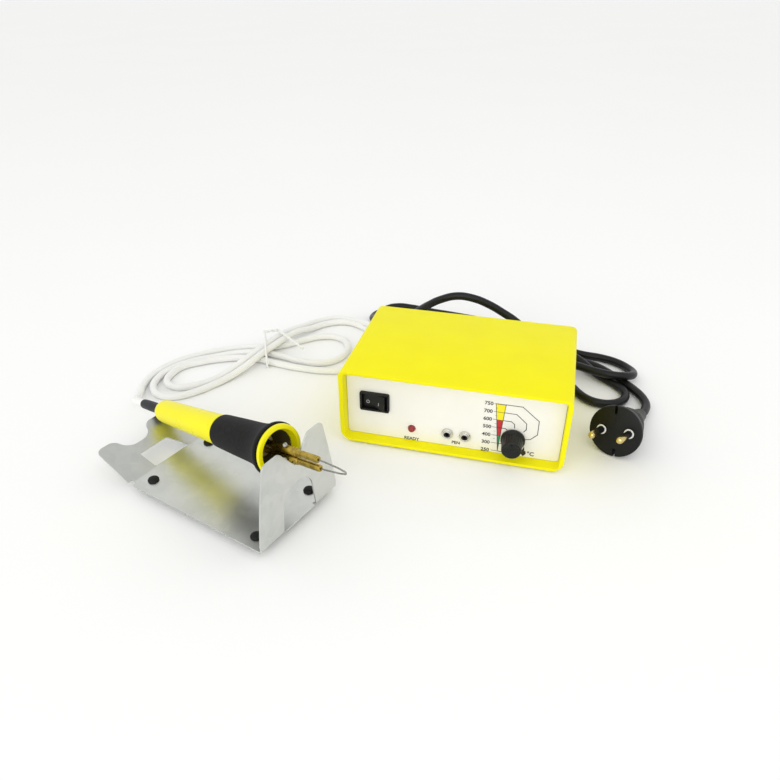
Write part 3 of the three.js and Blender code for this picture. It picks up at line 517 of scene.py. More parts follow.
# %% Helper that sweeps a round section along a route
def swept(name, points, diameter, finish, around=6, along=8, place=None):
    """Returns the mesh object of a round wire along the points, and its centre line in metres."""
    place = STATION if place is None else STATION @ place
    curve = bpy.data.curves.new(name, "CURVE")
    curve.dimensions = "3D"
    curve.resolution_u = along
    line = curve.splines.new("BEZIER")
    line.bezier_points.add(len(points) - 1)
    for knot, point in zip(line.bezier_points, points):
        knot.co = place @ Vector(point)
        knot.handle_left_type = knot.handle_right_type = "AUTO"
    drawn = new_object(name + "_line", curve)
    graph = bpy.context.evaluated_depsgraph_get()
    centre = bpy.data.meshes.new_from_object(drawn.evaluated_get(graph))
    path = [v.co.copy() for v in centre.vertices]
    curve.bevel_depth = diameter / 2 * MM
    curve.bevel_resolution = around
    curve.use_fill_caps = True
    bpy.context.view_layer.update()
    mesh = bpy.data.meshes.new_from_object(drawn.evaluated_get(bpy.context.evaluated_depsgraph_get()))
    bpy.data.objects.remove(drawn)
    bm = bmesh.new()
    bm.from_mesh(mesh)
    bpy.data.meshes.remove(mesh)
    clean(bm, 1e-6)
    for face in bm.faces:
        face.smooth = len(face.verts) < 6
    piece = to_object(bm, name, finish)
    return piece, path


def length_of(path):
    return sum((b - a).length for a, b in zip(path, path[1:]))


pen_lead, pen_lead_line = swept("pen_lead", pen_lead_route, PEN_LEAD_D, white_pvc)
mains_lead, mains_lead_line = swept("mains_lead", mains_lead_route, MAINS_LEAD_D, black_pvc)
print("pen lead", round(length_of(pen_lead_line), 3), "m, mains lead", round(length_of(mains_lead_line), 3), "m")
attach(mains_lead, "station")
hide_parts("mains_lead_from_station", "mains_lead_hank", "mains_lead_to_plug")
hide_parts("pen_lead_from_station", "pen_lead_hank", "pen_lead_to_pen")
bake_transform(pen_lead)

# %% [markdown]
# The tie is a plastic-coated wire. It goes once round the bundle and its ends are twisted together
# and left to lie over the lead. It is drawn as one bent wire for the loop and two for the ends.

# %% Wire tie
TIE_FAR, TIE_NEAR = Vector((-188.5, 70, 0)), Vector((-168, 27, 0))
tie_width = (TIE_NEAR - TIE_FAR).length
tie_along = (TIE_NEAR - TIE_FAR).normalized()


def on_tie(along, height):
    return TIE_FAR + tie_along * along + Vector((0, 0, height))


tie_loop = [on_tie(along, height) for along, height in (
    (4, 13.4), (1.5, 12.4), (0, 8.0), (-0.5, 3.6), (2.0, 1.75), (0.3 * tie_width, 1.2), (0.7 * tie_width, 1.2),
    (tie_width - 2, 1.75), (tie_width + 0.5, 3.5), (tie_width - 1, 8.5), (0.86 * tie_width, 12.4),
    (0.6 * tie_width, 13.1), (0.4 * tie_width, 13.1), (6, 13.8))]
loop_piece, _ = swept("tie_loop", tie_loop, 1.7, white_pvc, around=3)
tail_route = [Vector(p) for p in ((-186.5, 65, 13.9), (-175, 70.5, 14.2), (-160, 61, 11.8), (-146.5, 55.5, 7.4))]


def twisted_end(name, first_turn, aside):
    """One of two ends that wind round each other along the tail of the tie."""
    points = [on_tie(4.5, 13.4)]
    for start, end in zip(tail_route, tail_route[1:]):
        for step in range(7):
            turn_now = first_turn + len(points) * math.radians(80)
            side = Vector((-0.5 * math.cos(turn_now), 0.75 * math.cos(turn_now), 0.75 * math.sin(turn_now)))
            points.append(start.lerp(end, step / 7) + side)
    points.append(tail_route[-1] + Vector((0, aside, 0)))
    return swept(name, points, 1.5, white_pvc, around=3)[0]


end_one = twisted_end("tie_end_one", 0.0, 1.6)
end_two = twisted_end("tie_end_two", math.pi, -1.6)
for tie_piece in (loop_piece, end_one, end_two):
    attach(tie_piece, "station")
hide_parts("hank_tie")
print("tie is", round(tie_width, 1), "mm wide")

# %% [markdown]
# The case is one moulded sleeve, open at the front and back. Its section has large lower corners
# and smaller upper ones. Two outlines are bridged to give the end face, and that face is extruded
# to the full depth. Four posts inside take the panel screws.

# %% Case
CASE_W, CASE_LOW, CASE_HIGH = 155.0, 1.5, 58.5
SIDE_WALL, TOP_WALL = 3.2, 2.2
INNER_X, INNER_LOW, INNER_HIGH = CASE_W / 2 - SIDE_WALL, CASE_LOW + TOP_WALL, CASE_HIGH - TOP_WALL


def section(bm, half, low, high, low_corner, high_corner, segments=9):
    outline(bm, [(-half, low), (half, low), (half, high), (-half, high)],
            [low_corner, low_corner, high_corner, high_corner], segments)


def straight_box(bm, x0, x1, y0, y1, z0, z1):
    middle = moved((x0 + x1) / 2, (y0 + y1) / 2, (z0 + z1) / 2)
    bmesh.ops.create_cube(bm, size=1, matrix=middle @ Matrix.Diagonal((x1 - x0, y1 - y0, z1 - z0, 1)))


case = bmesh.new()
section(case, CASE_W / 2, CASE_LOW, CASE_HIGH, 8.5, 4.5)
section(case, INNER_X, INNER_LOW, INNER_HIGH, 2.6, 2.3)
bmesh.ops.delete(case, geom=case.faces[:], context="FACES_ONLY")
bmesh.ops.bridge_loops(case, edges=case.edges[:])
thicken(case, case_max.y - case_min.y)
soften(case, 0.45, segments=3, sharper=60)
bmesh.ops.rotate(case, verts=case.verts, cent=(0, 0, 0), matrix=Matrix.Rotation(math.radians(90), 3, "X"))
shift(case, 0, case_max.y, 0)
for side in (-1, 1):
    for low, high in ((INNER_LOW - 0.5, INNER_LOW + 8), (INNER_HIGH - 8, INNER_HIGH + 0.5)):
        inner, outer = sorted((side * (INNER_X - 8), side * (INNER_X + 0.5)))
        straight_box(case, inner, outer, PANEL_Y + 2.3, REAR_Y - 2.3, low, high)
settle(case, "sleeve_case", lemon_abs, replaces="station_case")
print("case", CASE_W, "mm wide")

# %% [markdown]
# The front panel is a flat sheet with holes punched in it. The outline and the holes are drawn as
# edge loops, the area between them is filled, and the fill is thickened to 2 mm.

# %% Front panel
ROCKER_AT, LAMP_AT, KNOB_AT = (-54.1, 32.4), (-27.6, 13.9), (42.4, 17.6)
SOCKETS_AT = [(-2.3, 14.3), (9.9, 14.1)]
panel = bmesh.new()
section(panel, INNER_X - 0.3, INNER_LOW + 0.3, INNER_HIGH - 0.3, 2.3, 2.0)
rx, rz = ROCKER_AT
outline(panel, [(rx - 9.6, rz - 6.6), (rx + 9.6, rz - 6.6), (rx + 9.6, rz + 6.6), (rx - 9.6, rz + 6.6)])
round_hole(panel, *LAMP_AT, 2.8)
round_hole(panel, *KNOB_AT, 4.3)
for spot in SOCKETS_AT:
    round_hole(panel, *spot, 3.3)
fill_outlines(panel)
shift(panel, 0, 0, -2)
thicken(panel, 2)
settle(panel, "printed_panel_sheet", panel_sheet, on_front(0, 0), replaces="front_panel")
print("panel made")

# %% [markdown]
# The panel's print is drawn as thin slabs of ink. The scale is a tall wedge, yellow at the hottest
# end, then red, then green, with a ruler beside it. Thin lines lead from the wedge's marks round to
# the places where the knob points. A bar of ink is a grid square that a matrix stretches.

# %% Ink helpers
INK = 0.05


def bar(bm, a, b, width):
    a, b = Vector((*a, 0)), Vector((*b, 0))
    turn_to = Matrix.Rotation(math.atan2(b.y - a.y, b.x - a.x), 4, "Z")
    bmesh.ops.create_grid(bm, x_segments=1, y_segments=1, size=0.5, matrix=Matrix.Translation((a + b) / 2)
                          @ turn_to @ Matrix.Diagonal(((b - a).length + width, width, 1, 1)))


def lines(bm, points, width):
    for a, b in zip(points, points[1:]):
        bar(bm, a, b, width)


def letters(bm, words, x, z, high, align="LEFT"):
    """Adds generic characters to a bmesh of ink. The text becomes a mesh before it is placed."""
    text = bpy.data.curves.new("letters", "FONT")
    text.body = words
    text.size = high / 0.73
    text.align_x = align
    text.offset = 0.022 * text.size
    text.resolution_u = 3
    drawn = new_object("letters", text)
    mesh = bpy.data.meshes.new_from_object(drawn.evaluated_get(bpy.context.evaluated_depsgraph_get()))
    bpy.data.objects.remove(drawn)
    mesh.transform(moved(x, z, 0))
    bm.from_mesh(mesh)
    bpy.data.meshes.remove(mesh)


def printed(bm, name, ink, layer=1, place=None, body="station"):
    thicken(bm, INK)
    place = on_front(0, 0, 0.01) if place is None else place
    return settle(bm, name, ink, place @ moved(0, 0, INK * (layer - 1)), body, merge=0.0005)


# %% Temperature scale
WEDGE_LEFT, WEDGE_RIGHT, WEDGE_TOP, WEDGE_TIP = 29.0, 35.4, 44.2, (32.8, 5.8)
MARKS = [(750, 44.0), (700, 37.8), (600, 31.5), (500, 25.2), (400, 18.6), (300, 12.1), (250, 5.5)]


def wedge_side(z, start):
    part = (z - WEDGE_TIP[1]) / (WEDGE_TOP - WEDGE_TIP[1])
    return WEDGE_TIP[0] + (start - WEDGE_TIP[0]) * part


for name, ink, high, low in (("yellow_band", yellow_ink, WEDGE_TOP, 31.5), ("red_band", red_ink, 31.5, 18.6),
                             ("green_band", green_ink, 18.6, WEDGE_TIP[1] + 0.4)):
    band = bmesh.new()
    outline(band, [(wedge_side(low, WEDGE_LEFT), low), (wedge_side(low, WEDGE_RIGHT), low),
                   (wedge_side(high, WEDGE_RIGHT), high), (wedge_side(high, WEDGE_LEFT), high)])
    printed(band, name, ink)

scale = bmesh.new()
lines(scale, [WEDGE_TIP, (WEDGE_LEFT, WEDGE_TOP), (WEDGE_RIGHT, WEDGE_TOP), WEDGE_TIP], 0.36)
for number, height in MARKS:
    bar(scale, (27.9 if number > 250 else 28.4, height), (wedge_side(height, WEDGE_RIGHT) + 0.4, height), 0.28)
    letters(scale, str(number), 21.4, height - 1.4, 2.8)
for step in range(1, 6):
    bar(scale, (29.2, 44.0 - 6.3 * step + 3.15), (30.2, 44.0 - 6.3 * step + 3.15), 0.2)
for points in ([(35.4, 44.3), (46.4, 44.3), (57.9, 34.7), (58.0, 23.7), (53.8, 19.2), (50.3, 18.5)],
               [(35.6, 37.9), (43.1, 37.8), (50.1, 31.4), (50.3, 26.7), (48.8, 24.6)],
               [(34.8, 31.4), (40.1, 31.5), (42.3, 29.7), (42.6, 26.8)], [(34.6, 25.2), (36.6, 25.2), (37.7, 24.4)],
               [(33.4, 12.1), (35.5, 12.1)], [(32.9, 5.5), (38.2, 5.3)]):
    lines(scale, points, 0.46)
letters(scale, "°C", 52.6, 5.6, 3.3)
letters(scale, "READY", -27.6, 4.0, 2.5, "CENTER")
letters(scale, "PEN", 3.9, 6.2, 2.4, "CENTER")
printed(scale, "scale_and_captions", black_ink, layer=2)

flame = bmesh.new()
outline(flame, [(48.3, 6.6), (50.2, 4.2), (52.1, 6.6), (51.6, 9.2), (50.9, 8.6), (50.4, 12.7), (49.2, 9.4),
                (48.7, 9.8)], 0.45, 3)
printed(flame, "flame_mark", black_ink)
print("scale printed with", len(MARKS), "marks")

# %% [markdown]
# The power switch is a rocker in a bezel. The bezel starts as a rounded slab. Its face is inset and
# pushed in to make the well, and its back is inset and pushed out to make the body behind the panel.

# %% Rocker bezel
bezel = bmesh.new()
outline(bezel, [(-10.5, -7.5), (10.5, -7.5), (10.5, 7.5), (-10.5, 7.5)], 1.3, 4)
thicken(bezel, 1.95)
bezel.faces.ensure_lookup_table()
top = max(bezel.faces, key=lambda f: f.calc_center_median().z)
back = min(bezel.faces, key=lambda f: f.calc_center_median().z)
bmesh.ops.inset_region(bezel, faces=[top], thickness=1.5, depth=0, use_even_offset=True)
bmesh.ops.inset_region(bezel, faces=[top], thickness=0.02, depth=-8, use_even_offset=True)
bmesh.ops.inset_region(bezel, faces=[back], thickness=1.25, depth=0, use_even_offset=True)
bmesh.ops.inset_region(bezel, faces=[back], thickness=0.02, depth=14, use_even_offset=True)
soften(bezel, 0.4, 3, 60, only=lambda e: min(v.co.z for v in e.verts) > 1.0)
settle(bezel, "rocker_bezel", black_abs, on_front(rx, rz, 0.05), replaces="rocker_frame")

# %% Rocker button
button = bmesh.new()
outline(button, [(-8.2, -0.4), (-8.2, -2.8), (0, -1.5), (8.2, -2.8), (8.2, -0.4), (3, 4.5), (-3, 4.5)])
thicken(button, 11.4)
shift(button, 0, 0, -5.7)
soften(button, 0.45, 3, 40)
BUTTON = moved(rx, PANEL_Y + 1.2, rz) @ rotated(-12, "Z")
settle(button, "rocker_button", black_abs, BUTTON, "power_rocker", replaces="power_rocker")

mark_off = bmesh.new()
bmesh.ops.create_circle(mark_off, radius=1.25, segments=32)
bmesh.ops.create_circle(mark_off, radius=0.95, segments=32)
bmesh.ops.bridge_loops(mark_off, edges=mark_off.edges[:])
printed(mark_off, "rocker_mark_off", white_ink, body="power_rocker", place=BUTTON
        @ moved(-4.6, -2.25, -0.9) @ rotated(9, "Z") @ UPRIGHT)
mark_on = bmesh.new()
bar(mark_on, (0, -1.1), (0, 1.1), 0.32)
printed(mark_on, "rocker_mark_on", white_ink, body="power_rocker", place=BUTTON
        @ moved(3.4, -2.08, -1.4) @ rotated(-9, "Z") @ UPRIGHT)
print("rocker made")

# %% [markdown]
# The lamp, the two tip sockets and the knob are all turned shapes. Each is an outline of radius and
# height that is spun once round. A dome gets more points so that its highlight is round.

# %% Lamp and sockets
dome = [(2.5 * math.cos(math.radians(a)), 0.7 + 2.4 * math.sin(math.radians(a))) for a in range(0, 90, 11)]
settle(turned([(0, -6.5), (2.2, -6.5), (2.9, -4.4), (2.9, -2.3), (2.5, -2.3)] + dome + [(0, 3.1)], 48),
       "lamp_lens", red_lens, on_front(*LAMP_AT), replaces="pilot_lamp")
for side, spot in zip(("left", "right"), SOCKETS_AT):
    settle(turned([(2.2, -8), (3.0, -8), (3.0, 2.3), (2.75, 2.6), (2.35, 2.6), (2.2, 2.4)], 48),
           "socket_barrel_" + side, nickel, on_front(*spot))
    settle(turned([(0, -12), (4.6, -12), (4.6, -2.4), (2.15, -2.4), (2.15, 2.2), (1.35, 2.2), (1.2, 1.9), (1.2, -10),
                   (0, -10)], 40), "socket_insert_" + side, dark_bore, on_front(*spot),
           replaces="socket_" + side)
    nut = turned([(3.05, 0.05), (4.05, 0.05), (4.05, 1.6), (3.75, 2.0), (3.05, 2.0)], 36)
    settle(nut, "socket_ring_nut_" + side, nickel, on_front(*spot), replaces="socket_nut_" + side)

# %% Knob
knob = turned([(3.3, 3.2), (4.4, 3.2), (4.4, 0.6), (7.9, 0.6), (8.2, 0.9), (8.2, 2.5), (7.4, 3.4), (7.2, 3.8),
               (6.62, 12.9), (6.5, 13.5), (6.0, 13.9), (5.6, 14), (4.9, 13.75), (0, 13.75), (0, 11.3), (3.3, 11.3)], 96)
for vert in knob.verts:
    turn_of = round(math.degrees(math.atan2(vert.co.y, vert.co.x)) / 3.75)
    if 3.6 < vert.co.z < 13.2 and vert.co.xy.length > 6 and turn_of % 4 in (0, 1):
        vert.co.xy *= 0.977
straight_box(knob, -0.55, 0.55, 0.5, 5.0, 13.3, 14.5)
settle(knob, "dial_knob", black_abs, on_front(*KNOB_AT), "temperature_knob", replaces="temperature_knob")
print("panel fittings made")

# %% [markdown]
# At the back each lead leaves through a moulded rubber relief. Its cone is cut into rings so that
# it bends more and more towards its end, which keeps the lead from breaking there.

# %% Strain reliefs
def relief(name, lead_radius, x, z, node):
    rings = []
    end = lead_radius + 1.0
    for step in range(7):
        low = 3.0 + 3.2 * step
        radius = 6.4 + (end - 6.4) * (low - 3.0) / 23.0
        rings += [(radius, low), (radius - 0.15, low + 2.1), (radius - 1.0, low + 2.2), (radius - 1.0, low + 3.1)]
    profile = ([(0, -5), (4.2, -5), (6.9, -4), (6.9, -2.3), (5.9, -2.3), (5.9, 0.3), (7.6, 0.3), (8, 0.7), (8, 2.3),
                (7.6, 2.7), (6.6, 3.0)] + rings + [(end, 25.4), (end - 0.3, 26), (0, 26)])
    settle(turned(profile, 48), name, soft_rubber, on_rear(x, z), replaces=node)


relief("ringed_pen_relief", PEN_LEAD_D / 2, -48, 22, "pen_lead_relief")
relief("ringed_mains_relief", MAINS_LEAD_D / 2, 44, 22, "mains_lead_relief")

# %% [markdown]
# Slots, cross recesses and blind holes are cut with other shapes. The Boolean modifier does it, and
# its result is read back into the bmesh, so that no modifier is left on the piece.

# %% Cutting helper, fuse cap and screws
def carve(bm, *tools):
    holders = []
    for shape in (bm, *tools):
        clean(shape)
        holders.append(to_object(shape, "carving"))
    work = holders[0]
    for tool in holders[1:]:
        cutter = work.modifiers.new("cut", "BOOLEAN")
        cutter.operation = "DIFFERENCE"
        cutter.solver = "EXACT"
        cutter.object = tool
    result = bpy.data.meshes.new_from_object(work.evaluated_get(bpy.context.evaluated_depsgraph_get()))
    for holder in holders:
        bpy.data.objects.remove(holder)
    done = bmesh.new()
    done.from_mesh(result)
    bpy.data.meshes.remove(result)
    return done


def block(x0, x1, y0, y1, z0, z1):
    bm = bmesh.new()
    straight_box(bm, x0, x1, y0, y1, z0, z1)
    return bm


def drill_bit(radius, low, high, x, y, steps):
    bit = turned([(0, low), (radius, low), (radius, high), (0, high)], steps)
    shift(bit, x, y, 0)
    return bit


def screw(head, shank, head_high, under, cross=True):
    """A pan head screw that stands on z 0, with a cross recess or one slot."""
    dome_points = [(head, 0), (head, head_high * 0.35), (head * 0.86, head_high * 0.75),
                   (head * 0.55, head_high * 0.96), (0, head_high)]
    body = turned([(0, -under), (shank, -under), (shank, 0)] + dome_points, 32)
    half, bottom, over = head * 0.13, head_high - head_high * 0.45, head_high + 1
    reach = head * 0.6 if cross else head * 1.2
    tools = [block(-reach, reach, -half, half, bottom, over)]
    if cross:
        tools.append(block(-half, half, -reach, reach, bottom, over))
    return carve(body, *tools)


fuse = turned([(0, -24), (5.2, -24), (5.2, -2.3), (6, -2.3), (6, 0.3), (7.7, 0.3), (8, 0.6), (8, 1.8), (7.6, 2.2),
               (5.7, 2.6), (5.3, 7.4), (4.9, 7.9), (0, 7.9)], 48)
settle(carve(fuse, block(-3.6, 3.6, -0.6, 0.6, 6.4, 9)), "fuse_cap", black_abs, on_rear(0, 24),
       replaces="fuse_holder")
for i in range(4):
    node = "rear_panel_screw_%d" % (i + 1)
    low, high = (TO_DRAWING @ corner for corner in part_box(node))
    settle(screw(3.0, 1.25, 1.7, 10), "cross_screw_%d" % (i + 1), zinc_steel,
           on_rear((low.x + high.x) / 2, (low.z + high.z) / 2, 0.25), replaces=node)
print("back of the station made")

# %% [markdown]
# The stand is cut flat from 1 mm sheet and bent twice, and here it is made the same way. The
# flat outline with its windows is filled. The sheet is then cut along lines across each bend, and
# everything past a line is turned a little, line by line, which gives the bend its radius.

# %% Flat blank of the stand
STAND = moved(-74.5, -138.7) @ Matrix.Rotation(STAND_YAW, 4, "Z")
OUTER, SHEET = 5.5, 1.0  # height of the underside, thickness


def up(z):
    """Place on the flat blank of a point that ends up at height z on the front plate."""
    return z - 6.36


blank = bmesh.new()
outline(blank, [(up(11), -34.6), (up(31), -31.7), (up(63), -25.4), (up(63), -12), (up(46.7), 0), (up(63), 12),
                (up(63), 25.4), (up(31), 31.7), (up(11), 34.6), (-2, 34.6), (-109, 37.2), (-109.6, 34.2),
                (-113.4, 34.2), (-127.4, 31), (-144.9, 21.5), (-144.9, 1.6), (-134.5, -2), (-134.5, -19.5),
                (-144.9, -24.2), (-144.9, -37.5), (-114.2, -37.5), (-113.4, -34.2), (-109.6, -34.2),
                (-109, -37.2), (-2, -34.6)],
        [0, 6, 3.4, 2.2, 1.8, 2.2, 3.4, 6, 0, 0, 0, 0, 0, 4, 3.4, 4, 6, 6, 4, 4, 0, 0, 0, 0, 0], 5)
outline(blank, [(-0.3, -13.4), (-2.6, -13.4), (-2.6, -14.9), (0.2, -14.9), (up(22.5), -13.0), (up(35.5), -13.0),
                (up(35.5), 13.0), (up(22.5), 13.0), (0.2, 14.9), (-2.6, 14.9), (-2.6, 13.4), (-0.3, 13.4)],
        [0, 0, 0, 0, 0, 12.9, 12.9, 0, 0, 0, 0, 0], 9)
outline(blank, [(-126.5, -17.7), (-126.5, 4.7), (-112.4, 12.4), (-112.4, -16.3)], 1.2, 4)
FEET_AT = [(-102, -26.5), (-102, 21.5), (-11.5, -26.5), (-11.5, 21.5)]
for spot in FEET_AT:
    round_hole(blank, *spot, 2.2, 20)
fill_outlines(blank)
shift(blank, 0, 0, OUTER)


# %% Bend it and give it thickness
def fold(bm, first, last, angle, steps, moves):
    """Bends a sheet about Y between two lines. moves tells which points past a line turn with it."""
    marks = [first + (last - first) * step / steps for step in range(steps + 1)]
    for mark in marks:
        bmesh.ops.bisect_plane(bm, geom=bm.verts[:] + bm.edges[:] + bm.faces[:], plane_co=(mark, 0, 0),
                               plane_no=(1, 0, 0), dist=0.0001)
    way = 1 if last > first else -1
    past = [[v for v in bm.verts if way * (v.co.x - mark) > 0.001 and moves(v.co)] for mark in marks]
    for mark, verts in reversed(list(zip(marks, past))):
        bmesh.ops.rotate(bm, verts=verts, cent=(mark, 0, OUTER),
                         matrix=Matrix.Rotation(-way * math.radians(angle / (steps + 1)), 3, "Y"))


fold(blank, -2.0, 1.14, 90, 6, lambda co: abs(co.y) > 13.6 or co.x > 0.15)
fold(blank, -111.2, -112.0, 24, 3, lambda co: True)
for face in blank.faces:
    if face.normal.z < -0.01:
        face.normal_flip()
bmesh.ops.solidify(blank, geom=blank.faces[:], thickness=-SHEET)
low_z = min(v.co.z for v in blank.verts)
soften(blank, 0.14, 1, 65)
settle(blank, "bent_sheet_stand", zinc_sheet, STAND, smooth=8, merge=0.0005, replaces="stand_plate")
print("stand bent; its underside is at", round(low_z, 2), "mm")

# %% Rubber plugs of the stand
for i, (x, y) in enumerate(FEET_AT):
    foot = turned([(0, 0), (3.7, 0), (4.1, 0.3), (4.2, 0.8), (4.2, 4.9), (4.0, 5.4), (2.1, 5.45), (2.1, 6.55),
                   (3.6, 6.6), (3.65, 7.1), (3.3, 7.8), (2.5, 8.35), (1.3, 8.65), (0, 8.7)], 32)
    settle(foot, "rubber_plug_%d" % (i + 1), soft_rubber, STAND @ moved(x, y, 0),
           replaces="stand_foot_%d" % (i + 1))

# %% [markdown]
# The pen is drawn along its own axis: z 0 is its mouth and z grows towards the tail. PEN takes that
# drawing to the pen's place on the stand, turned and tipped up a little.

# %% Axes of the pen
yaw, pitch = math.radians(-25.1), math.radians(11.85)
forward = Vector((math.cos(yaw) * math.cos(pitch), math.sin(yaw) * math.cos(pitch), math.sin(pitch)))
right = forward.cross(Vector((0, 0, 1))).normalized()
above = right.cross(forward)
PEN = moved(-85.2, -133.6, 51.8) @ Matrix((right, above, -forward)).transposed().to_4x4()

# %% [markdown]
# The handle is moulded in two halves that meet along a seam. Each half is an outline spun through
# half a turn, less a hair for the seam, and its two open ends are filled. The rounded edges make
# the seam show as a fine dark line.

# %% Handle halves
handle_outline = [(4, 118.5), (5.8, 118.5), (6.2, 60), (7.9, 50), (7.9, 34.6), (9.6, 34.6), (9.6, 55.8),
                  (9.75, 56.1), (9.9, 56.5), (9.78, 61), (8.05, 121.4), (7.75, 123.6), (7.15, 125.4),
                  (6.3, 126.6), (5.6, 127), (4, 127)]
SEAM = -35.0


def handle_half(start):
    half = turned(handle_outline, 40, 178.4, start + 0.8)
    bmesh.ops.holes_fill(half, edges=[e for e in half.edges if e.is_boundary], sides=0)
    return soften(half, 0.12, 2, 60)


SCREW_IN = (rotated(SEAM, "Z") @ moved(0, 0, 108)
            @ rotated(90, "X"))  # drives the screw from below
drill = drill_bit(2.6, 5.6, 20, 0, 0, 24)
bmesh.ops.transform(drill, matrix=SCREW_IN, verts=drill.verts)
settle(handle_half(SEAM), "handle_half_upper", pen_abs, PEN, "pen", replaces="pen_handle_upper")
settle(carve(handle_half(SEAM + 180), drill), "handle_half_lower", pen_abs, PEN, "pen", replaces="pen_handle_lower")
settle(screw(2.3, 1.0, 1.3, 11.6), "handle_cross_screw", zinc_steel, PEN @ SCREW_IN @ moved(0, 0, 5.9), "pen",
       replaces="pen_handle_screw")
print("handle made")

# %% [markdown]
# The grip is a foam sleeve with a heat guard, a wide collar at its front. Foam has no sharp
# edges, so its outline is rounded everywhere. The yellow nose flares out in front of it.

# %% Grip, nose and carrier
grip_outline = [(15.5, 2.8), (16.0, 2.8), (16.3, 3.1), (16.45, 3.7), (16.45, 4.8), (16.3, 5.5), (15.9, 6.3),
                (15.2, 7.6), (14.5, 9.3), (13.9, 11.3), (13.3, 13.7), (12.85, 16.2), (12.55, 19), (12.35, 22),
                (12.1, 28), (11.65, 38), (11.2, 46), (10.85, 53), (10.7, 54.9), (10.4, 55.5), (9.95, 55.6),
                (9.95, 14.8)]
grip = settle(turned(grip_outline, 96), "foam_sleeve_grip", foam, PEN, "pen", replaces="pen_grip", smooth=60)
nose_outline = [(12.9, 0.1), (13.2, 0), (15.1, 0), (15.6, 0.2), (15.8, 0.7), (15.8, 2), (15.4, 2.5), (14.9, 2.8),
                (9.6, 14.5), (9.6, 34.2), (7.6, 34.2), (7.6, 15.4), (8.0, 13.5), (12.4, 2.0), (12.7, 0.7)]
settle(turned(nose_outline, 96), "flared_nose", pen_abs, PEN, "pen", replaces="pen_nose")
# A dark liner lines the inside of the nose. It is painted shade: it darkens the mouth where little light reaches, and
# is no real part.
liner = turned([(12.2, 2.6), (12.4, 2.4), (7.9, 14.2), (7.55, 15.6), (7.2, 15.6), (7.6, 14.1)], 72)
settle(liner, "nose_painted_shade_liner", mouth_shade_liner, PEN, "pen")
ROD_AT = 2.85  # each brass rod from the middle of the pen
carrier = turned([(0, 16), (6.9, 16), (7.3, 16.4), (7.3, 25), (0, 25)], 48)
bores = [drill_bit(2.25, 10, 30, 0, side * ROD_AT, 24) for side in (1, -1)]
settle(carve(carrier, *bores), "ceramic_carrier", steatite, PEN, "pen", replaces="terminal_carrier")

# %% [markdown]
# Two brass terminals stand side by side out of the mouth. Each is a turned rod with a collar, and a
# small slotted screw in the collar clamps one leg of the wire. The tip is one piece of resistance
# wire bent to a narrow V, swept along its own route.

# %% Terminals and tip
for place, side, turn_to in (("upper", 1, 75), ("lower", -1, 15)):
    at = PEN @ moved(0, side * ROD_AT)
    rod = turned([(0.75, -33), (1.4, -33), (1.85, -32.6), (2, -31.8), (2, -15.2), (2.15, -15), (2.35, -14.9),
                  (2.45, -14.6), (2.45, -3.2), (2.3, -2.8), (2, -2.6), (2, 29), (0, 29), (0, -12), (0.75, -12)], 40)
    settle(rod, "brass_rod_" + place, brass, at, "pen", replaces="terminal_" + place)
    turn_screw = (moved(0, 0, -7) @ rotated(turn_to, "Z")
                  @ rotated(90, "Y"))
    settle(screw(1.45, 0.8, 1.5, 0.6, cross=False), "slotted_screw_" + place, zinc_steel,
           at @ turn_screw @ moved(0, 0, 3.2), "pen", replaces="clamp_screw_" + place)
wire_route = [(0, ROD_AT, -12.5), (0, ROD_AT, -24), (0, ROD_AT, -34), (0, 2.2, -42), (0, 1.1, -50.5), (0, 0, -53),
              (0, -1.1, -50.5), (0, -2.2, -42), (0, -ROD_AT, -34), (0, -ROD_AT, -24), (0, -ROD_AT, -12.5)]
wire, _ = swept("bent_wire_tip", wire_route, 1.0, nichrome, around=4, along=6, place=PEN)
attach(wire, "wire_tip")
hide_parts("wire_tip")

# %% Tail sleeve
sleeve = turned([(0, 112), (5.2, 112), (5.2, 117.8), (3.7, 117.8), (3.72, 128), (3.66, 134), (3.62, 142), (3.5, 149.5),
                 (3.3, 151.6), (3.05, 152), (0, 152)], 40)
settle(sleeve, "tail_sleeve", sleeve_rubber, PEN, "pen", replaces="pen_tail_sleeve")
print("pen made,", 152 + 53, "mm from tail to tip")

# %% [markdown]
# The mains plug is a moulded cone with a round face. Rings behind the face give a grip. Two slots
# in the rim take the socket's earth clips, and the pins come out of white bushings.

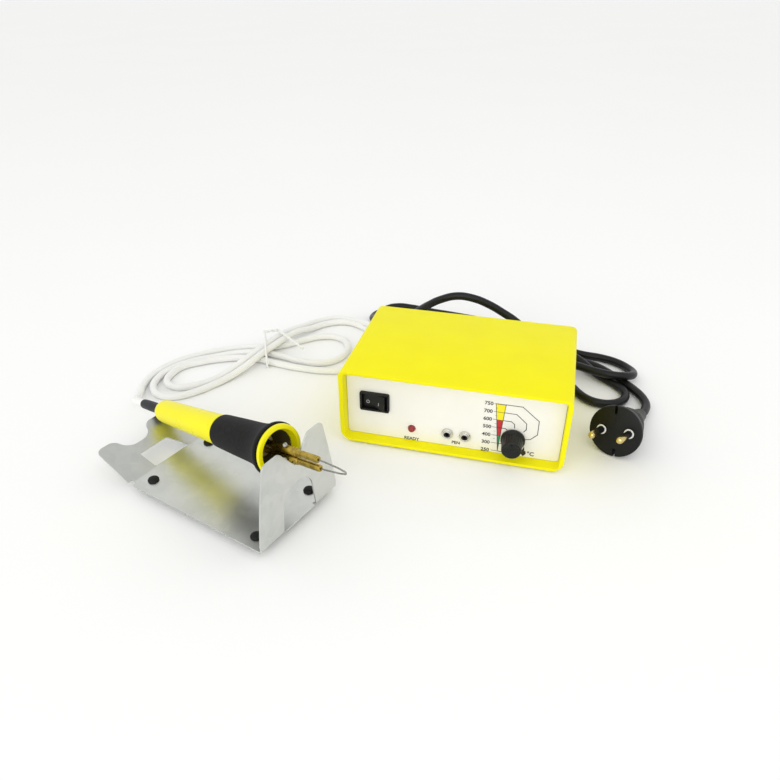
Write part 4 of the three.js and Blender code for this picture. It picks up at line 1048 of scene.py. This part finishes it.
# %% Plug
PIN_AT = 9.5  # the pins stand 19 mm apart
PLUG_FACE = Vector((109.1, -19.1, 18.3))
plug_out = Vector((-0.42, -0.873, 0.249)).normalized()
plug_x = Vector((0.9, -0.37, 0.21))
plug_x = (plug_x - plug_out * plug_x.dot(plug_out)).normalized()
plug_y = (-plug_out).cross(plug_x)
PLUG = moved(*PLUG_FACE) @ Matrix((plug_x, plug_y, -plug_out)).transposed().to_4x4()
plug_outline = [(0, 0), (17.3, 0), (17.9, 0.25), (18.2, 0.9), (18.1, 3), (17.4, 5.4), (16.5, 8), (15.9, 9.6),
                (15.1, 9.8), (14.7, 11.4), (15.2, 11.7), (14.9, 13.6), (14.1, 13.9), (13.8, 15.5), (14.2, 15.8),
                (13.7, 17.8), (12.9, 18.1), (12.6, 19.7), (13.0, 20.0), (12.3, 22.3), (11.5, 22.6), (11.2, 24.2),
                (11.5, 24.5), (10.4, 28), (8.9, 32), (7.7, 36), (6.6, 40), (5.6, 45.5), (4.8, 50), (4.3, 51.6),
                (3.9, 52), (0, 52)]
holes = [drill_bit(3.5, -1, 7.8, side * PIN_AT, 0, 32) for side in (-1, 1)]
plug = carve(turned(plug_outline, 72), block(-0.9, 0.9, 12.3, 21, -1, 13), block(-0.9, 0.9, -21, -12.3, -1, 13), *holes)
plug_piece = settle(plug, "moulded_mains_plug", black_pa, PLUG, replaces="plug_body")
for place, side in (("left", -1), ("right", 1)):
    at = PLUG @ moved(side * PIN_AT, 0)
    bush = turned([(2.45, -0.15), (3.3, -0.15), (3.45, 0.1), (3.45, 7.7), (2.45, 7.7)], 40)
    settle(bush, "pin_bush_" + place, white_insulator, at)
    coat = turned([(2.0, -9.6), (2.25, -9.6), (2.4, -9.3), (2.4, 7.5), (2.0, 7.5)], 40)
    settle(coat, "pin_coat_" + place, black_pa, at)
    pin = turned([(0, -19), (0.9, -19), (1.7, -18.6), (2.2, -17.7), (2.37, -16.8), (2.37, -9.7), (1.98, -9.6),
                  (1.98, 7.4), (0, 7.4)], 40)
    settle(pin, "round_pin_" + place, pin_brass, at, replaces="plug_pin_" + place)
print("plug made")

# %% [markdown]
# The pieces inside the station and its feet keep their CAD shape. Each gets the finish
# of what it is, in its material slot.

# %% Finishes of the kept pieces
kept = {"rear_panel": lemon_abs, "chassis_plate": zinc_steel, "transformer_core": core_steel,
        "transformer_winding": copper_winding, "control_board": green_board, "triac_heatsink": heat_sink,
        "smoothing_capacitor": black_abs, "terminal_block": green_block, "potentiometer": zinc_steel,
        "potentiometer_spindle": zinc_steel}
kept.update({"station_foot_%d" % (i + 1): soft_rubber for i in range(4)})
for name, finish in kept.items():
    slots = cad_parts[name].data.materials
    if len(slots):
        for i in range(len(slots)):
            slots[i] = finish
    else:
        slots.append(finish)
print("kept", len(kept), "pieces")

# %% [markdown]
# The last step measures the box of what shows.

# %% Sizes and finish
low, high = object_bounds()
